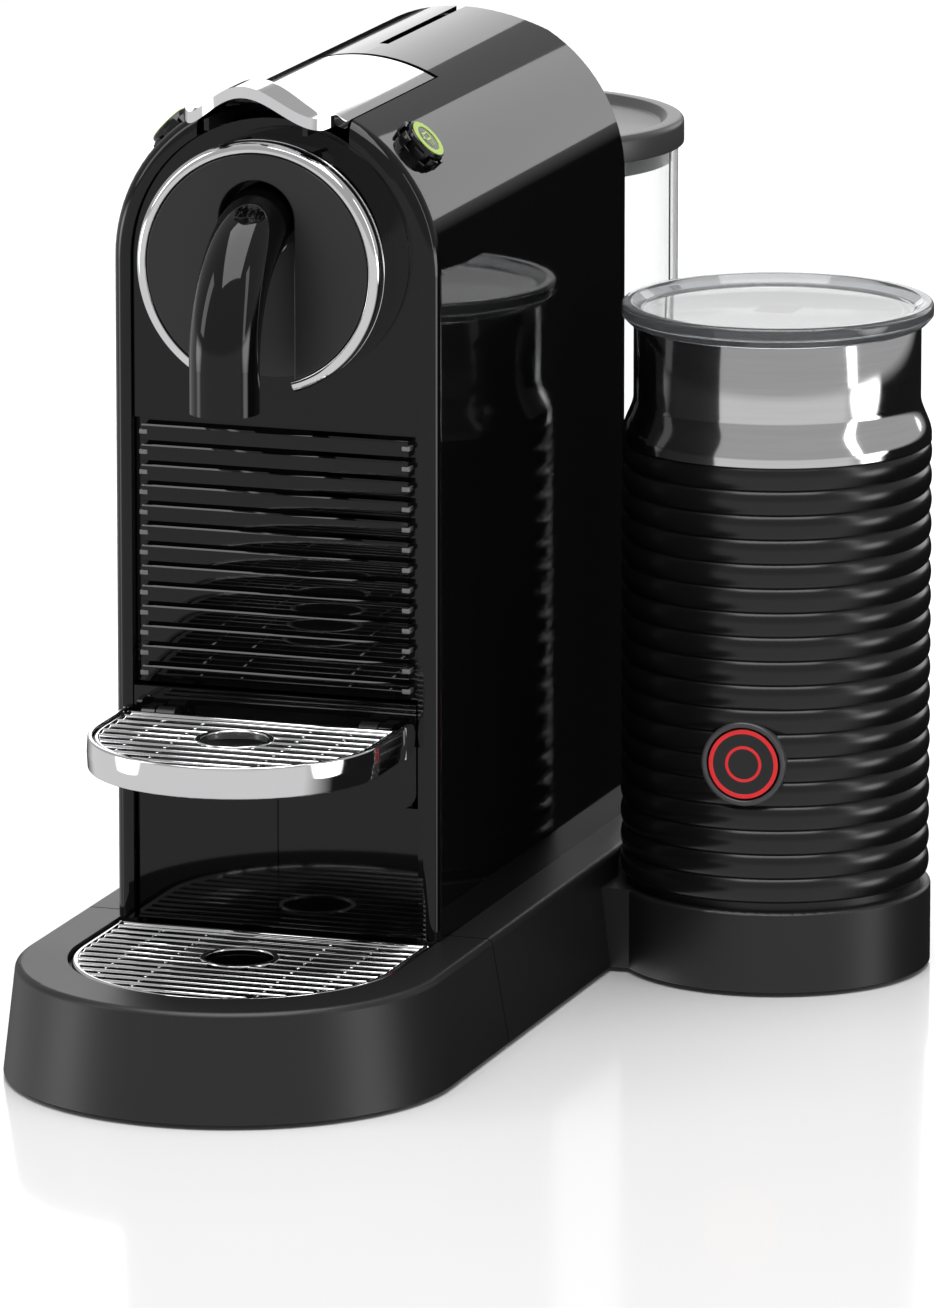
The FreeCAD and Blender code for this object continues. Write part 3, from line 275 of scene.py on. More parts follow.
def make_piece(name, bm, body, slot, stands_for=(), finish=None, sharp=35.0):
    """Turn a bmesh in mm into a shaded object that rides on a CAD body."""
    bmesh.ops.remove_doubles(bm, verts=bm.verts, dist=0.0005)
    bmesh.ops.dissolve_degenerate(bm, edges=bm.edges, dist=0.0001)
    bmesh.ops.recalc_face_normals(bm, faces=bm.faces)
    bm.transform(TO_ROW)
    mesh = bpy.data.meshes.new(name)
    bm.to_mesh(mesh)
    bm.free()
    mesh.shade_smooth()
    mesh.set_sharp_from_angle(angle=math.radians(sharp))
    piece = bpy.data.objects.new(name, mesh)
    bpy.context.scene.collection.objects.link(piece)
    mesh.materials.append(finish or FINISHES[slot])
    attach(piece, body)
    if stands_for:
        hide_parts(*stands_for)
    return piece


def cut(piece, bm):
    """Cut a bmesh in mm out of a piece."""
    bmesh.ops.recalc_face_normals(bm, faces=bm.faces)
    bm.transform(TO_ROW)
    mesh = bpy.data.meshes.new("cutter")
    bm.to_mesh(mesh)
    bm.free()
    cutter = bpy.data.objects.new("cutter", mesh)
    bpy.context.scene.collection.objects.link(cutter)
    trim = piece.modifiers.new("cut", "BOOLEAN")
    trim.operation = "DIFFERENCE"
    trim.solver = "EXACT"
    trim.object = cutter
    bpy.context.view_layer.update()
    result = bpy.data.meshes.new_from_object(piece.evaluated_get(bpy.context.evaluated_depsgraph_get()))
    piece.modifiers.remove(trim)
    piece.data = result
    bpy.data.objects.remove(cutter)
    result.set_sharp_from_angle(angle=math.radians(35))


# ---------------------------------------------------------------- materials

def colour(hexcode):
    """Linear RGBA of an sRGB hex colour."""
    values = []
    for start in (0, 2, 4):
        value = int(hexcode[start:start + 2], 16) / 255
        values.append(value / 12.92 if value <= 0.04045 else ((value + 0.055) / 1.055) ** 2.4)
    return (*values, 1.0)


def add_node(tree, kind, values=(), links=(), **settings):
    """A node with its own settings, socket values and incoming links."""
    node = tree.nodes.new(kind)
    for name, value in settings.items():
        setattr(node, name, value)
    for socket, value in dict(values).items():
        node.inputs[socket].default_value = value
    for socket, source in dict(links).items():
        tree.links.new(source, node.inputs[socket])
    return node


def pattern(tree, size, stretch=(1, 1, 1), detail=3.0):
    """Cloudy noise with features of about size mm, stretched along the axes."""
    where = add_node(tree, "ShaderNodeTexCoord")
    spread = tuple(1 / (size * MM * axis) for axis in stretch)
    mapped = add_node(tree, "ShaderNodeMapping", {"Scale": spread}, {"Vector": where.outputs["Object"]})
    noise = add_node(
        tree, "ShaderNodeTexNoise", {"Scale": 1.0, "Detail": detail}, {"Vector": mapped.outputs["Vector"]},
    )
    return noise.outputs[0]


def surface(name, low_colour, high_colour, roughness, cloud, texture, depth, stretch=(1, 1, 1), **values):
    """
    A finish whose colour and roughness drift over cloud mm, with a fine texture of that size and depth in mm.
    Values are the shader's own sockets.
    """
    material = bpy.data.materials.new(name)
    material.use_nodes = True
    tree = material.node_tree
    tree.nodes.clear()
    drift = pattern(tree, cloud, stretch)
    grain = pattern(tree, texture, stretch, detail=2.0)
    tint = add_node(
        tree, "ShaderNodeMix", {6: colour(low_colour), 7: colour(high_colour)}, {0: drift}, data_type="RGBA",
    )
    polish = add_node(
        tree, "ShaderNodeMapRange", {"To Min": roughness[0], "To Max": roughness[1]}, {"Value": drift},
    )
    relief = add_node(
        tree, "ShaderNodeBump", {"Strength": 1.0, "Distance": depth * MM}, {"Height": grain},
    )
    sockets = {socket.replace("_", " "): value for socket, value in values.items()}
    shader = add_node(
        tree, "ShaderNodeBsdfPrincipled", sockets,
        {
            "Base Color": tint.outputs[2],
            "Roughness": polish.outputs["Result"],
            "Normal": relief.outputs["Normal"],
        },
    )
    add_node(tree, "ShaderNodeOutputMaterial", (), {"Surface": shader.outputs["BSDF"]})
    return material


FINISHES = {
    # Piano-black ABS from a mirror-polished mould: deep black, near-mirror, with very slight flow waves.
    "gloss_black": surface(
        "gloss_black_moulded_abs", "060606", "0A0A0B", roughness=(0.03, 0.06), cloud=60, texture=9,
        depth=0.0006, IOR=1.42,
    ),
    # ABS from a spark-eroded mould: an even, fine satin grain that spreads highlights.
    "satin_black_base": surface(
        "satin_black_moulded_abs", "161617", "1B1B1C", roughness=(0.36, 0.44), cloud=45, texture=0.7,
        depth=0.012, IOR=1.5,
    ),
    # Dark grey ABS disc, satin, so that it shows one soft gradient.
    "charcoal_satin": surface(
        "charcoal_satin_abs", "1E1E1F", "232324", roughness=(0.30, 0.36), cloud=30, texture=0.6,
        depth=0.004, IOR=1.5,
    ),
    # Bright chrome plate on ABS: mirror-like, with faint waves from the moulding under it.
    "chrome": surface(
        "bright_chrome_plate", "E6E6E8", "EDEDEE", roughness=(0.04, 0.08), cloud=20, texture=6,
        depth=0.0010, Metallic=1.0,
    ),
    # Polished stainless steel, spun: fine rings round the frother's neck.
    "stainless": surface(
        "polished_stainless_steel", "D5D5D7", "E2E2E3", roughness=(0.06, 0.12), cloud=1.2, texture=0.5,
        depth=0.0008, stretch=(30, 30, 1), Metallic=1.0,
    ),
    # Inner mouldings in plain black ABS.
    "black_moulding": surface(
        "black_moulded_abs", "0E0E0F", "131314", roughness=(0.30, 0.42), cloud=25, texture=0.8, depth=0.010,
        IOR=1.5,
    ),
    # Soft rubber: matt, with a powdery drift.
    "rubber_black": surface(
        "moulded_rubber", "1A1A1A", "222222", roughness=(0.70, 0.85), cloud=12, texture=0.5, depth=0.020,
        IOR=1.5,
    ),
    # Zinc-plated steel fasteners.
    "steel_plated": surface(
        "zinc_plated_steel", "A7A9AC", "BABCBE", roughness=(0.25, 0.40), cloud=4, texture=0.3, depth=0.003,
        Metallic=1.0,
    ),
    # Printed green ring of the buttons, slightly satin.
    "button_green": surface(
        "green_moulded_abs", "93AE3B", "A3C04A", roughness=(0.28, 0.36), cloud=8, texture=0.5, depth=0.004,
        IOR=1.5,
    ),
    # Brass tube of the pump, drawn: faint lengthwise streaks.
    "brass_tube": surface(
        "drawn_brass", "B08D45", "C8A557", roughness=(0.20, 0.32), cloud=2, texture=0.4, depth=0.003,
        stretch=(1, 12, 1), Metallic=1.0,
    ),
    # Heat-proof nylon bobbin of the pump's coil.
    "coil_plastic": surface(
        "dark_red_nylon", "4A1512", "5C1D19", roughness=(0.35, 0.50), cloud=10, texture=0.6, depth=0.010,
        IOR=1.53,
    ),
    # Die-cast aluminium heater: dull and lightly pitted.
    "cast_aluminium": surface(
        "die_cast_aluminium", "8E9092", "A6A8AA", roughness=(0.42, 0.60), cloud=6, texture=0.9, depth=0.030,
        Metallic=1.0,
    ),
    # Green solder mask over a glass-fibre board.
    "circuit_board": surface(
        "solder_mask_board", "123C22", "1B5230", roughness=(0.25, 0.35), cloud=5, texture=0.7, depth=0.006,
        IOR=1.55,
    ),
    # Milky silicone hose.
    "silicone_hose": surface(
        "silicone_rubber", "C9C7C0", "D8D6D0", roughness=(0.40, 0.55), cloud=8, texture=0.7, depth=0.008,
        IOR=1.41,
    ),
    # Water tank blown and trimmed in clear copolyester.
    "clear_tank": surface(
        "clear_copolyester", "F6F8F8", "FFFFFF", roughness=(0.00, 0.02), cloud=40, texture=12, depth=0.0020,
        IOR=1.45, Transmission_Weight=1.0,
    ),
    # Tank lid in dark grey satin ABS.
    "lid_grey": surface(
        "dark_grey_satin_abs", "3A3A3B", "444445", roughness=(0.30, 0.38), cloud=30, texture=0.7,
        depth=0.008, IOR=1.5,
    ),
    # Frother sleeve: black ABS with a soft sheen on every rib.
    "ribbed_sleeve": surface(
        "satin_black_ribbed_abs", "0D0D0E", "121213", roughness=(0.20, 0.27), cloud=30, texture=0.8,
        depth=0.004, IOR=1.5,
    ),
    # Non-stick coating inside the frother: dark, speckled and slightly rough.
    "non_stick": surface(
        "non_stick_coating", "3B3B3D", "58585A", roughness=(0.35, 0.50), cloud=1.4, texture=0.8,
        depth=0.010, IOR=1.4,
    ),
    # Motor can in drawn steel.
    "motor_steel": surface(
        "drawn_steel", "8C8D90", "9FA1A3", roughness=(0.25, 0.38), cloud=5, texture=0.4, depth=0.003,
        Metallic=1.0,
    ),
    # Button frame in satin grey metal paint.
    "grey_bezel": surface(
        "grey_painted_abs", "3C3C3E", "4A4A4C", roughness=(0.25, 0.32), cloud=10, texture=0.4, depth=0.004,
        IOR=1.5,
    ),
    # Button caps in gloss black ABS.
    "button_black": surface(
        "gloss_black_button_abs", "08080A", "0D0D0F", roughness=(0.05, 0.10), cloud=10, texture=4,
        depth=0.0010, IOR=1.5,
    ),
    # Frother lid in lightly smoked clear copolyester.
    "smoky_lid": surface(
        "smoked_copolyester", "A9ABAD", "B7B9BB", roughness=(0.03, 0.07), cloud=30, texture=8, depth=0.0020,
        IOR=1.5, Transmission_Weight=0.9,
    ),
}
# Red light guide of the frother button, lit softly from behind.
RED_RING = surface(
    "red_light_guide", "C0181C", "D0232A", roughness=(0.20, 0.28), cloud=6, texture=0.6, depth=0.003,
    IOR=1.5, Emission_Color=colour("D4141A"), Emission_Strength=0.35,
)
# Pale green print on the button.
GREEN_PRINT = surface(
    "green_print", "9CB84A", "AAC85A", roughness=(0.30, 0.40), cloud=5, texture=0.4, depth=0.002, IOR=1.5,
)
# Small pale grey boxes at the slat ends: their grey is a painted highlight for where the rounded slat ends
# catch the light.
SLAT_END_HIGHLIGHT_GREY = surface(
    "painted_slat_end_highlight_grey", "6C6C6E", "7C7C7E", roughness=(0.30, 0.40), cloud=5, texture=0.4, depth=0.004,
    IOR=1.5,
)

for row in frame["record"]["subparts"]:
    node = frame["nodes"][row["node"]]
    node.data.materials.clear()
    node.data.materials.append(FINISHES[row["material_slot"]])


# ---------------------------------------------------------------- lever and buttons

def smooth_step(value):
    value = min(1.0, max(0.0, value))
    return value * value * (3 - 2 * value)


def lip_height(x, half, crest):
    """Top of the wavy lip across the front of the lever."""
    if abs(x) < LIP_HALF_WAVE:
        return LIP_DIP + (crest - LIP_DIP) * math.cos(math.pi * x / (2 * LIP_HALF_WAVE)) ** LIP_WAVE_POWER
    rise = (abs(x) - LIP_HALF_WAVE) / (half - LIP_HALF_WAVE)
    return LIP_DIP + LIP_CORNER_RISE * math.sin(rise * math.pi / 2) ** 2


def lever_cover():
    """Chrome plate flush with the arch, rolled up at the front into a wavy finger lip."""
    low, high = place("lever_cover")
    half, front, rear, crest = high.x, low.y, high.y, high.z
    bulge = LIP_CORNER_Y - front
    radius = (half ** 2 + bulge ** 2) / (2 * bulge)
    bm = bmesh.new()
    bmesh.ops.create_grid(bm, x_segments=64, y_segments=110, size=1)
    below = bmesh.ops.extrude_face_region(bm, geom=bm.faces[:])["geom"]
    below = {item for item in below if isinstance(item, bmesh.types.BMVert)}
    for vert in bm.verts:
        x = half * vert.co.x
        along = math.sin((vert.co.y + 1) * math.pi / 4)
        edge = front + radius - math.sqrt(radius ** 2 - x ** 2)
        y = rear + (edge - rear) * along
        arched = ARCH_CENTRE + math.sqrt(ARCH_RADIUS ** 2 - x ** 2)
        share = smooth_step((LIP_ROLL_START - y) / (LIP_ROLL_START - LIP_ROLL_END))
        z = arched + share * (lip_height(x, half, crest) - arched)
        if vert in below:
            z -= LEVER_PLATE + share * (LIP_THICKNESS - LEVER_PLATE)
        vert.co = (x, y, z)
    piece = make_piece("lever_cover_chrome", bm, "lever", "chrome", ["lever_cover"], sharp=50)
    round_edges = piece.modifiers.new("rounded edges", "BEVEL")
    round_edges.width = 0.7 * MM
    round_edges.segments = 4
    round_edges.limit_method = "ANGLE"
    round_edges.angle_limit = math.radians(50)
    round_edges.harden_normals = True


def shoulder(side):
    """Matrix from a button drawn about Z to its place on the left (-1) or right (+1) shoulder."""
    return Matrix.Translation((0, BUTTON_Y, ARCH_CENTRE)) @ Matrix.Rotation(side * BUTTON_ANGLE, 4, "Y")


def coffee_cup(width):
    """Generic cup sign: a bowl, a handle, a saucer and two wisps of steam."""
    lift = BUTTON_FACE - 0.05
    top = BUTTON_FACE + 0.12
    half = width / 2
    strokes = [
        ((-half, -0.2), (half, 0.5)),
        ((-half, -1.7), (-half + 0.5, 0.5)),
        ((half - 0.5, -1.7), (half, 0.5)),
        ((-half + 0.2, -2.2), (half - 0.2, -1.6)),
        ((half, -0.9), (half + 0.9, -0.4)),
        ((-0.9, 1.0), (-0.45, 2.5)),
        ((0.45, 1.0), (0.9, 2.5)),
    ]
    return joined([block((x0, y0, lift), (x1, y1, top), 0.05) for (x0, y0), (x1, y1) in strokes])


def buttons():
    foot = BUTTON_FACE - BUTTON_DEPTH
    notch = COLLAR_TOP - COLLAR_NOTCH
    for side, word in ((-1, "left"), (1, "right")):
        body = f"button_{word}"
        cap = lathe(filleted([
            (0, foot, 0), (BUTTON_RADIUS, foot, 0.3), (BUTTON_RADIUS, BUTTON_FACE, 0.6), (0, BUTTON_FACE, 0),
        ]), 64, closed=False)
        make_piece(f"button_cap_{word}_black", moved(cap, shoulder(side)), body, "button_black",
                   [f"button_cap_{word}"])
        ring = lathe(filleted([
            (4.15, BUTTON_FACE - 0.4, 0), (6.0, BUTTON_FACE - 0.4, 0), (6.0, BUTTON_FACE + 0.18, 0.15),
            (4.15, BUTTON_FACE + 0.18, 0.15),
        ]), 64)
        make_piece(f"button_ring_{word}", moved(ring, shoulder(side)), body, "button_green")
        turn = Matrix.Rotation(math.radians(-90 * side), 4, "Z")
        make_piece(f"button_sign_{word}", moved(coffee_cup(4.2), shoulder(side) @ turn), body, "button_green",
                   finish=GREEN_PRINT)
    collars = []
    for side in (-1, 1):
        collars.append(moved(lathe(filleted([
            (COLLAR_INNER, COLLAR_FOOT, 0), (COLLAR_OUTER, COLLAR_FOOT, 0.2), (COLLAR_OUTER, notch, 0.3),
            (COLLAR_INNER, notch, 0.2),
        ]), 64), shoulder(side)))
        for tooth in range(COLLAR_TEETH):
            part = lathe(filleted([
                (COLLAR_INNER + 0.05, notch - 0.6, 0), (COLLAR_OUTER, notch - 0.6, 0.1),
                (COLLAR_OUTER, COLLAR_TOP, 0.35), (COLLAR_INNER + 0.05, COLLAR_TOP, 0.25),
            ]), 8, tooth * 360 / COLLAR_TEETH, TOOTH_SWEEP)
            collars.append(moved(part, shoulder(side)))
    make_piece("button_collars_castellated", joined(collars), "machine", "black_moulding", ["button_collars"],
               finish=FINISHES["button_black"])


# ---------------------------------------------------------------- brew head and louvres

def facing_front(x, z):
    """Matrix from a piece drawn about Z to one drawn about an axis that points forwards."""
    return Matrix.Translation((x, 0, z)) @ Matrix.Rotation(math.radians(90), 4, "X")


def crosswise(x):
    """Matrix from a prism drawn with (z, y) corners to one that runs from x towards -X."""
    return Matrix.Translation((x, 0, 0)) @ Matrix.Rotation(math.radians(-90), 4, "Y")


def brew_ring():
    low, high = place("brew_ring")
    outer = high.x
    inner = outer - RING_WIDTH
    centre = high.z - outer
    back, front = -high.y, -low.y
    groove = front - RING_GROOVE
    grooved = outer - RING_GROOVE_DEPTH
    profile = filleted([
        (inner, back, 0), (outer, back, 0), (outer, groove - 0.35, 0.2), (grooved, groove - 0.3, 0.15),
        (grooved, groove + 0.3, 0.15), (outer, groove + 0.35, 0.2), (outer, front, 2.2), (inner, front, 0.5),
    ])
    gap = math.degrees(math.asin(RING_GAP_HALF / outer))
    ring = lathe(profile, 160, gap - 90, 360 - 2 * gap)
    make_piece("brew_ring_chrome", moved(ring, facing_front(0, centre)), "machine", "chrome", ["brew_ring"])


def louvres():
    low, high = place("louvre_slats")
    pitch = (high.z - low.z - SLAT_HEIGHT) / (SLAT_COUNT - 1)
    slats = []
    painted_highlights = []
    for number in range(SLAT_COUNT):
        top = high.z - number * pitch
        bottom = top - SLAT_HEIGHT
        outline = filleted([
            (high.y, top - 0.9, 0), (low.y + SLAT_CHAMFER, top, 0.15), (low.y, top - SLAT_CHAMFER, 0.15),
            (low.y + 1.0, bottom, 0.2), (high.y, bottom, 0),
        ])
        slat = prism([(z, y) for y, z in outline], 2 * high.x)
        slats.append(moved(slat, crosswise(high.x)))
        middle_z = (top + bottom) / 2 + 0.2
        # A pale grey box at each end of the slat: a painted highlight on the slat end
        for side in (-1, 1):
            near = (side * SLAT_HIGHLIGHT_X - SLAT_HIGHLIGHT_HALF_WIDTH, low.y - 0.1, middle_z - SLAT_HIGHLIGHT_HEIGHT / 2)
            far = (side * SLAT_HIGHLIGHT_X + SLAT_HIGHLIGHT_HALF_WIDTH, high.y, middle_z + SLAT_HIGHLIGHT_HEIGHT / 2)
            painted_highlights.append(block(near, far, 0.15))
    make_piece("louvre_slats_lipped", joined(slats), "machine", "gloss_black", ["louvre_slats"])
    make_piece("louvre_slat_end_painted_highlights", joined(painted_highlights), "machine", "black_moulding", finish=SLAT_END_HIGHLIGHT_GREY)


# ---------------------------------------------------------------- grids and cup shelf

def grid(low, high, arc_y, bars, hole_y):
    """Chrome rods across a D-shaped rim, with a ring round the hole and wires under them."""
    half = high.x
    rim_z = high.z - RIM_RADIUS
    rear = high.y - RIM_RADIUS
    rod_z = high.z - ROD_RADIUS
    wire_z = low.z + WIRE_RADIUS
    reach = half - RIM_RADIUS
    section = [
        (reach + RIM_RADIUS * math.cos(angle), rim_z + RIM_RADIUS * math.sin(angle))
        for angle in (math.radians(30 * step) for step in range(12))
    ]
    parts = [sweep_round_front(section, arc_y, rear)]
    parts.append(rod((-reach - 0.9, rear, rim_z), (reach + 0.9, rear, rim_z), RIM_RADIUS))
    front = arc_y - half
    pitch = (high.y - front) / (bars + 1)
    ring_outer = HOLE_RADIUS + HOLE_WALL
    for number in range(bars):
        y = front + pitch * (number + 1)
        span = reach
        if y < arc_y:
            span = math.sqrt(reach ** 2 - (arc_y - y) ** 2)
        gap = 0.0
        if abs(y - hole_y) < ring_outer - 0.5:
            gap = math.sqrt(ring_outer ** 2 - (y - hole_y) ** 2) - 0.5
        if gap:
            parts.append(rod((gap, y, rod_z), (span, y, rod_z), ROD_RADIUS))
            parts.append(rod((-span, y, rod_z), (-gap, y, rod_z), ROD_RADIUS))
        else:
            parts.append(rod((-span, y, rod_z), (span, y, rod_z), ROD_RADIUS))
    for share in WIRE_SHARES:
        x = half * share
        nearest = arc_y - math.sqrt(reach ** 2 - x ** 2)
        parts.append(rod((x, nearest, wire_z), (x, rear, wire_z), WIRE_RADIUS, 8, 0.1))
    ring = lathe(filleted([
        (HOLE_RADIUS, low.z, 0.3), (ring_outer, low.z, 0.3), (ring_outer, high.z, 0.6),
        (HOLE_RADIUS, high.z, 0.6),
    ]), 64)
    parts.append(moved(ring, Matrix.Translation((0, hole_y, 0))))
    return joined(parts)


def grids():
    drip = grid(*place("drip_grid"), GRID_ARC, GRID_BARS, GRID_HOLE_Y)
    make_piece("drip_grid_rods", drip, "drip_grid_body", "chrome", ["drip_grid"])
    cup = grid(*place("cup_grid"), SHELF_ARC, SHELF_BARS, SHELF_HOLE_Y)
    make_piece("cup_grid_rods", cup, "cup_shelf", "chrome", ["cup_grid"])


def cup_band():
    """Chrome band round the cup shelf, slightly crowned, with round rear ends."""
    low, high = place("cup_band")
    outer = high.x
    inner = outer - BAND_WALL
    mid = (low.z + high.z) / 2
    section = filleted([
        (inner, low.z, 0.3), (outer - BAND_CROWN, low.z, 0.6), (outer, mid, 6.0),
        (outer - BAND_CROWN, high.z, 0.6), (inner, high.z, 0.3),
    ], 6)
    band = sweep_round_front(section, SHELF_ARC, BAND_REAR, 96)
    ends = []
    for side in (-1, 1):
        outline = filleted([
            (BAND_REAR - 0.1, low.z, 0), (-8.0, low.z + 0.9, 3.2), (-6.6, 94.0, 1.5), (-8.0, high.z, 3.2),
            (BAND_REAR - 0.1, high.z, 0),
        ], 8)
        ear = prism([(z, y) for y, z in outline], EAR_THICKNESS)
        side_x = inner if side > 0 else -outer + 0.1
        ends.append(moved(ear, crosswise(side_x + EAR_THICKNESS)))
    make_piece("cup_band_chrome", joined([band] + ends), "cup_shelf", "chrome", ["cup_band"])


# ---------------------------------------------------------------- tank

def tank_lid():
    low, high = place("tank_lid")
    centre = (low + high) / 2
    outer = high.x
    profile = filleted([
        (0, low.z + 7.2, 0), (44.6, low.z + 7.2, 0.5), (44.6, low.z, 0.4), (46.6, low.z, 0.4),
        (46.6, low.z + 7.0, 0.3), (outer - 1.4, low.z + 7.0, 0), (outer - 1.4, low.z + 5.0, 0.3),
        (outer, low.z + 5.0, 0.5), (outer, high.z, 1.8), (outer - 5, high.z, 1.0),
        (outer - 7.2, high.z - 2.2, 1.0), (0, high.z - 2.2, 0),
    ])
    lid = lathe(profile, 128, closed=False)
    make_piece("tank_lid_rimmed", moved(lid, Matrix.Translation((centre.x, centre.y, 0))), "tank_lid_body",
               "lid_grey", ["tank_lid"])


# ---------------------------------------------------------------- frother

def at_frother(bm):
    return moved(bm, Matrix.Translation((FROTHER.x, FROTHER.y, 0)))


def button_front():
    """Matrix from a piece drawn about Z to the frother button; z is the distance from the frother's axis."""
    turn = Matrix.Rotation(FROTHER_BUTTON_ANGLE, 4, "Z") @ Matrix.Rotation(math.radians(90), 4, "X")
    return Matrix.Translation((FROTHER.x, FROTHER.y, FROTHER_BUTTON_Z)) @ turn


def sleeve():
    """Outer sleeve with round ribs and narrow valleys."""
    low, high = place("frother_sleeve")
    outer = (high.x - low.x) / 2
    pitch = (high.z - low.z) / RIB_COUNT
    profile = [(SLEEVE_INNER, low.z), (RIB_VALLEY, low.z)]
    steps = 10
    for number in range(RIB_COUNT):
        for step in range(1, steps + 1):
            share = step / steps
            swell = math.sin(math.pi * share) ** 0.55 if share < 1 else 0.0
            profile.append((RIB_VALLEY + (outer - RIB_VALLEY) * swell, low.z + pitch * (number + share)))
    profile.append((SLEEVE_INNER, high.z))
    piece = make_piece("frother_sleeve_ribbed", at_frother(lathe(profile, 144)), "jug", "ribbed_sleeve",
                       ["frother_sleeve"], sharp=60)
    hole = rod((0, 0, 30), (0, 0, 60), FRAME_OUTER + 0.05, 96, 0.05)
    cut(piece, moved(hole, button_front()))


def flared(foot, top, share):
    """Radius of the neck at a share of its flare: straight at the foot, then drawn in to the top."""
    return foot - (foot - top) * smooth_step(max(0.0, share - 0.12) / 0.88)


def collar():
    """Polished neck that flares out over the top of the sleeve."""
    low, high = place("frother_collar")
    wall = 1.0
    profile = [(44.1, low.z)]
    steps = 24
    for step in range(steps + 1):
        share = step / steps
        profile.append((flared(NECK_FOOT, NECK_RADIUS, share), low.z + 13.0 * share))
    profile.append((NECK_RADIUS, high.z - 0.6))
    profile.append((NECK_RADIUS - 0.4, high.z))
    profile.append((NECK_RADIUS - wall, high.z))
    for step in range(steps + 1):
        share = 1 - step / steps
        profile.append((flared(NECK_FOOT_INSIDE, NECK_RADIUS - wall, share), low.z + 0.5 + 11.5 * share))
    neck = at_frother(lathe(profile, 144))
    make_piece("frother_neck_polished", neck, "jug", "stainless", ["frother_collar"], sharp=50)


def frother_lid():
    low, high = place("frother_lid")
    rim = (high.x - low.x) / 2
    seat = place("frother_collar")[1].z + 0.05
    profile = filleted([
        (0, high.z - 4.4, 0), (37.0, high.z - 4.4, 0.5), (37.0, low.z, 0.4), (38.6, low.z, 0.4),
        (38.6, seat, 0.4), (rim - 2, seat, 1.0), (rim, seat + 2.2, 0.8), (rim, high.z, 1.4),
        (rim - 3, high.z, 0.8), (rim - 6.0, high.z - 2.4, 1.2), (0, high.z - 2.4, 0),
    ])
    make_piece("frother_lid_clear", at_frother(lathe(profile, 144, closed=False)), "jug_lid", "smoky_lid",
               ["frother_lid"])


def frother_button():
    bezel = lathe(filleted([
        (FRAME_INNER, 41.5, 0), (FRAME_OUTER, 41.5, 0), (FRAME_OUTER, 46.9, 0.7), (FRAME_INNER, 46.9, 0.5),
    ]), 96)
    make_piece("frother_button_frame", moved(bezel, button_front()), "jug", "grey_bezel",
               ["frother_button_bezel"])
    outline = filleted([(0, 42.0, 0), (10.5, 42.0, 0.3), (10.5, 46.4, 0.3), (0, 46.4, 0)])
    cap = lathe(outline, 96, closed=False)
    make_piece("frother_button_cap", moved(cap, button_front()), "frother_button_body", "button_black",
               ["frother_button"])
    for name, inner, outer in (("outer", 9.0, 10.3), ("inner", 4.5, 5.4)):
        ring = lathe(filleted([
            (inner, 46.2, 0), (outer, 46.2, 0), (outer, 46.52, 0.1), (inner, 46.52, 0.1),
        ]), 96)
        make_piece(f"frother_button_ring_{name}", moved(ring, button_front()), "frother_button_body",
                   "button_black", finish=RED_RING)


# ---------------------------------------------------------------- stage

CAMERA_AZIMUTH = math.radians(18.59)
CAMERA_ELEVATION = math.radians(12.55)
CAMERA_DISTANCE = 3.4871
CAMERA_TARGET = Vector((-0.02113, 0.02145, 0.09397))
CAMERA_LENS = 326.2
GLOW_ABOVE = 0.42           # light from above the horizon
GLOW_AHEAD = 0.70           # light that a pale table would throw back, in front of the object
DIM_BEHIND = 0.01
DARK_AZIMUTH = 153          # middle of the dark part below the horizon
DARK_HALF = 57              # half width of the dark part, in degrees
GLOW_FROM = 82              # how far from its middle the glow is full
STRIPS = ((-74, 15, 6, 4.0), (92, 16, 8, 5.0))   # azimuth, half width, even half width, radiance


def outwards(azimuth, elevation):
    """Unit vector; azimuth 0 is straight in front, and it grows towards +X."""
    flat = math.cos(elevation)
    return Vector((math.sin(azimuth) * flat, -math.cos(azimuth) * flat, math.sin(elevation)))


def camera():
    data = bpy.data.cameras.new("camera")
    data.lens = CAMERA_LENS
    data.clip_end = 50
    eye = bpy.data.objects.new("camera", data)
    bpy.context.scene.collection.objects.link(eye)
    aim = outwards(CAMERA_AZIMUTH, CAMERA_ELEVATION)
    eye.location = CAMERA_TARGET + CAMERA_DISTANCE * aim
    eye.rotation_euler = aim.to_track_quat("Z", "Y").to_euler()
    bpy.context.scene.camera = eye


def softbox(name, azimuth, elevation, distance, width, height, radiance):
    """Large rectangular light that faces the object."""
    data = bpy.data.lights.new(name, "AREA")
    data.shape = "RECTANGLE"
    data.size = width
    data.size_y = height
    data.energy = radiance * width * height * math.pi
    lamp = bpy.data.objects.new(name, data)
    bpy.context.scene.collection.objects.link(lamp)
    aim = outwards(math.radians(azimuth), math.radians(elevation))
    lamp.location = Vector((0, 0, 0.15)) + distance * aim
    lamp.rotation_euler = aim.to_track_quat("Z", "Y").to_euler()
    lamp.visible_camera = False


def floor():
    bm = bmesh.new()
    bmesh.ops.create_grid(bm, x_segments=1, y_segments=1, size=15)
    mesh = bpy.data.meshes.new("floor")
    bm.to_mesh(mesh)
    bm.free()
    ground = bpy.data.objects.new("floor", mesh)
    bpy.context.scene.collection.objects.link(ground)
    mesh.materials.append(surface(
        "white_lacquered_board", "EDEDED", "F0F0F0", roughness=(0.10, 0.12), cloud=300, texture=40,
        depth=0.0005, IOR=1.5,
    ))
    ground.visible_glossy = False


def away(tree, where, azimuth, low, high):
    """0 where a direction is low degrees from an azimuth, and 1 where it is high degrees from it."""
    aim = outwards(math.radians(azimuth), 0)
    along = add_node(
        tree, "ShaderNodeVectorMath", {1: aim}, {0: where.outputs["Generated"]}, operation="DOT_PRODUCT",
    )
    share = add_node(
        tree, "ShaderNodeMapRange",
        {"From Min": math.cos(math.radians(low)), "From Max": math.cos(math.radians(high))},
        {"Value": along.outputs["Value"]},
    )
    return share.outputs["Result"]


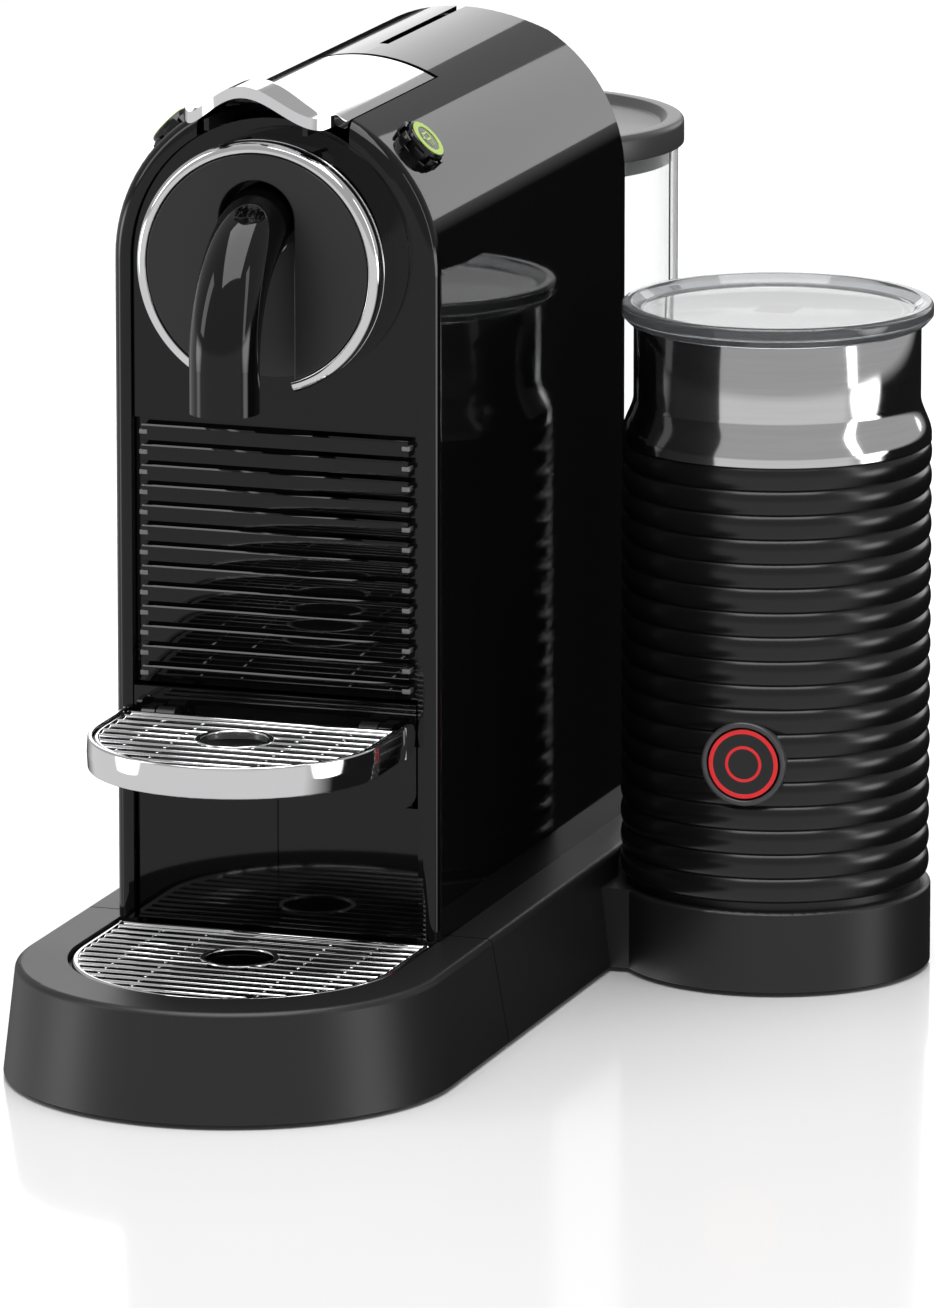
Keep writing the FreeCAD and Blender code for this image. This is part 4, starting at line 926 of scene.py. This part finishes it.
def world():
    """Soft light above the horizon, a pale glow with two strips below it, and plain white for the camera."""
    sky = bpy.data.worlds.new("studio")
    bpy.context.scene.world = sky
    sky.use_nodes = True
    tree = sky.node_tree
    tree.nodes.clear()
    where = add_node(tree, "ShaderNodeTexCoord")
    direction = add_node(tree, "ShaderNodeSeparateXYZ", (), {"Vector": where.outputs["Generated"]})
    above = add_node(
        tree, "ShaderNodeMapRange", {"From Min": -0.02, "From Max": 0.06}, {"Value": direction.outputs["Z"]},
    )
    shown = add_node(
        tree, "ShaderNodeMapRange", {"To Min": DIM_BEHIND, "To Max": GLOW_AHEAD},
        {"Value": away(tree, where, DARK_AZIMUTH, DARK_HALF, GLOW_FROM)},
    ).outputs["Result"]
    for azimuth, half, even, radiance in STRIPS:
        strip = away(tree, where, azimuth, half, even)
        shown = add_node(
            tree, "ShaderNodeMath", {1: radiance}, {0: strip, 2: shown}, operation="MULTIPLY_ADD",
        ).outputs[0]
    strength = add_node(
        tree, "ShaderNodeMix", {3: GLOW_ABOVE}, {0: above.outputs["Result"], 2: shown},
    )
    lit = add_node(tree, "ShaderNodeBackground", {"Color": (1, 1, 1, 1)}, {"Strength": strength.outputs[0]})
    white = add_node(tree, "ShaderNodeBackground", {"Color": (1, 1, 1, 1), "Strength": 1.0})
    path = add_node(tree, "ShaderNodeLightPath")
    seen = add_node(
        tree, "ShaderNodeMath", (),
        {0: path.outputs["Is Camera Ray"], 1: path.outputs["Is Transmission Ray"]}, operation="MAXIMUM",
    )
    mixed = add_node(
        tree, "ShaderNodeMixShader", (),
        {0: seen.outputs[0], 1: lit.outputs["Background"], 2: white.outputs["Background"]},
    )
    add_node(tree, "ShaderNodeOutputWorld", (), {"Surface": mixed.outputs["Shader"]})


def stage():
    camera()
    floor()
    world()
    softbox("back_left", azimuth=-161, elevation=13, distance=4.0, width=1.7, height=1.4, radiance=1.3)
    softbox("back_right", azimuth=163, elevation=16, distance=4.0, width=1.5, height=1.7, radiance=1.3)
    softbox("overhead", azimuth=20, elevation=78, distance=3.0, width=3.0, height=3.0, radiance=4.0)
    softbox("front_left", azimuth=-62, elevation=24, distance=3.5, width=0.9, height=2.0, radiance=2.5)
    softbox("right", azimuth=80, elevation=22, distance=3.5, width=0.5, height=2.4, radiance=2.5)
    bpy.context.scene.view_settings.view_transform = "Standard"


lever_cover()
buttons()
brew_ring()
louvres()
grids()
cup_band()
tank_lid()
sleeve()
collar()
frother_lid()
frother_button()
stage()
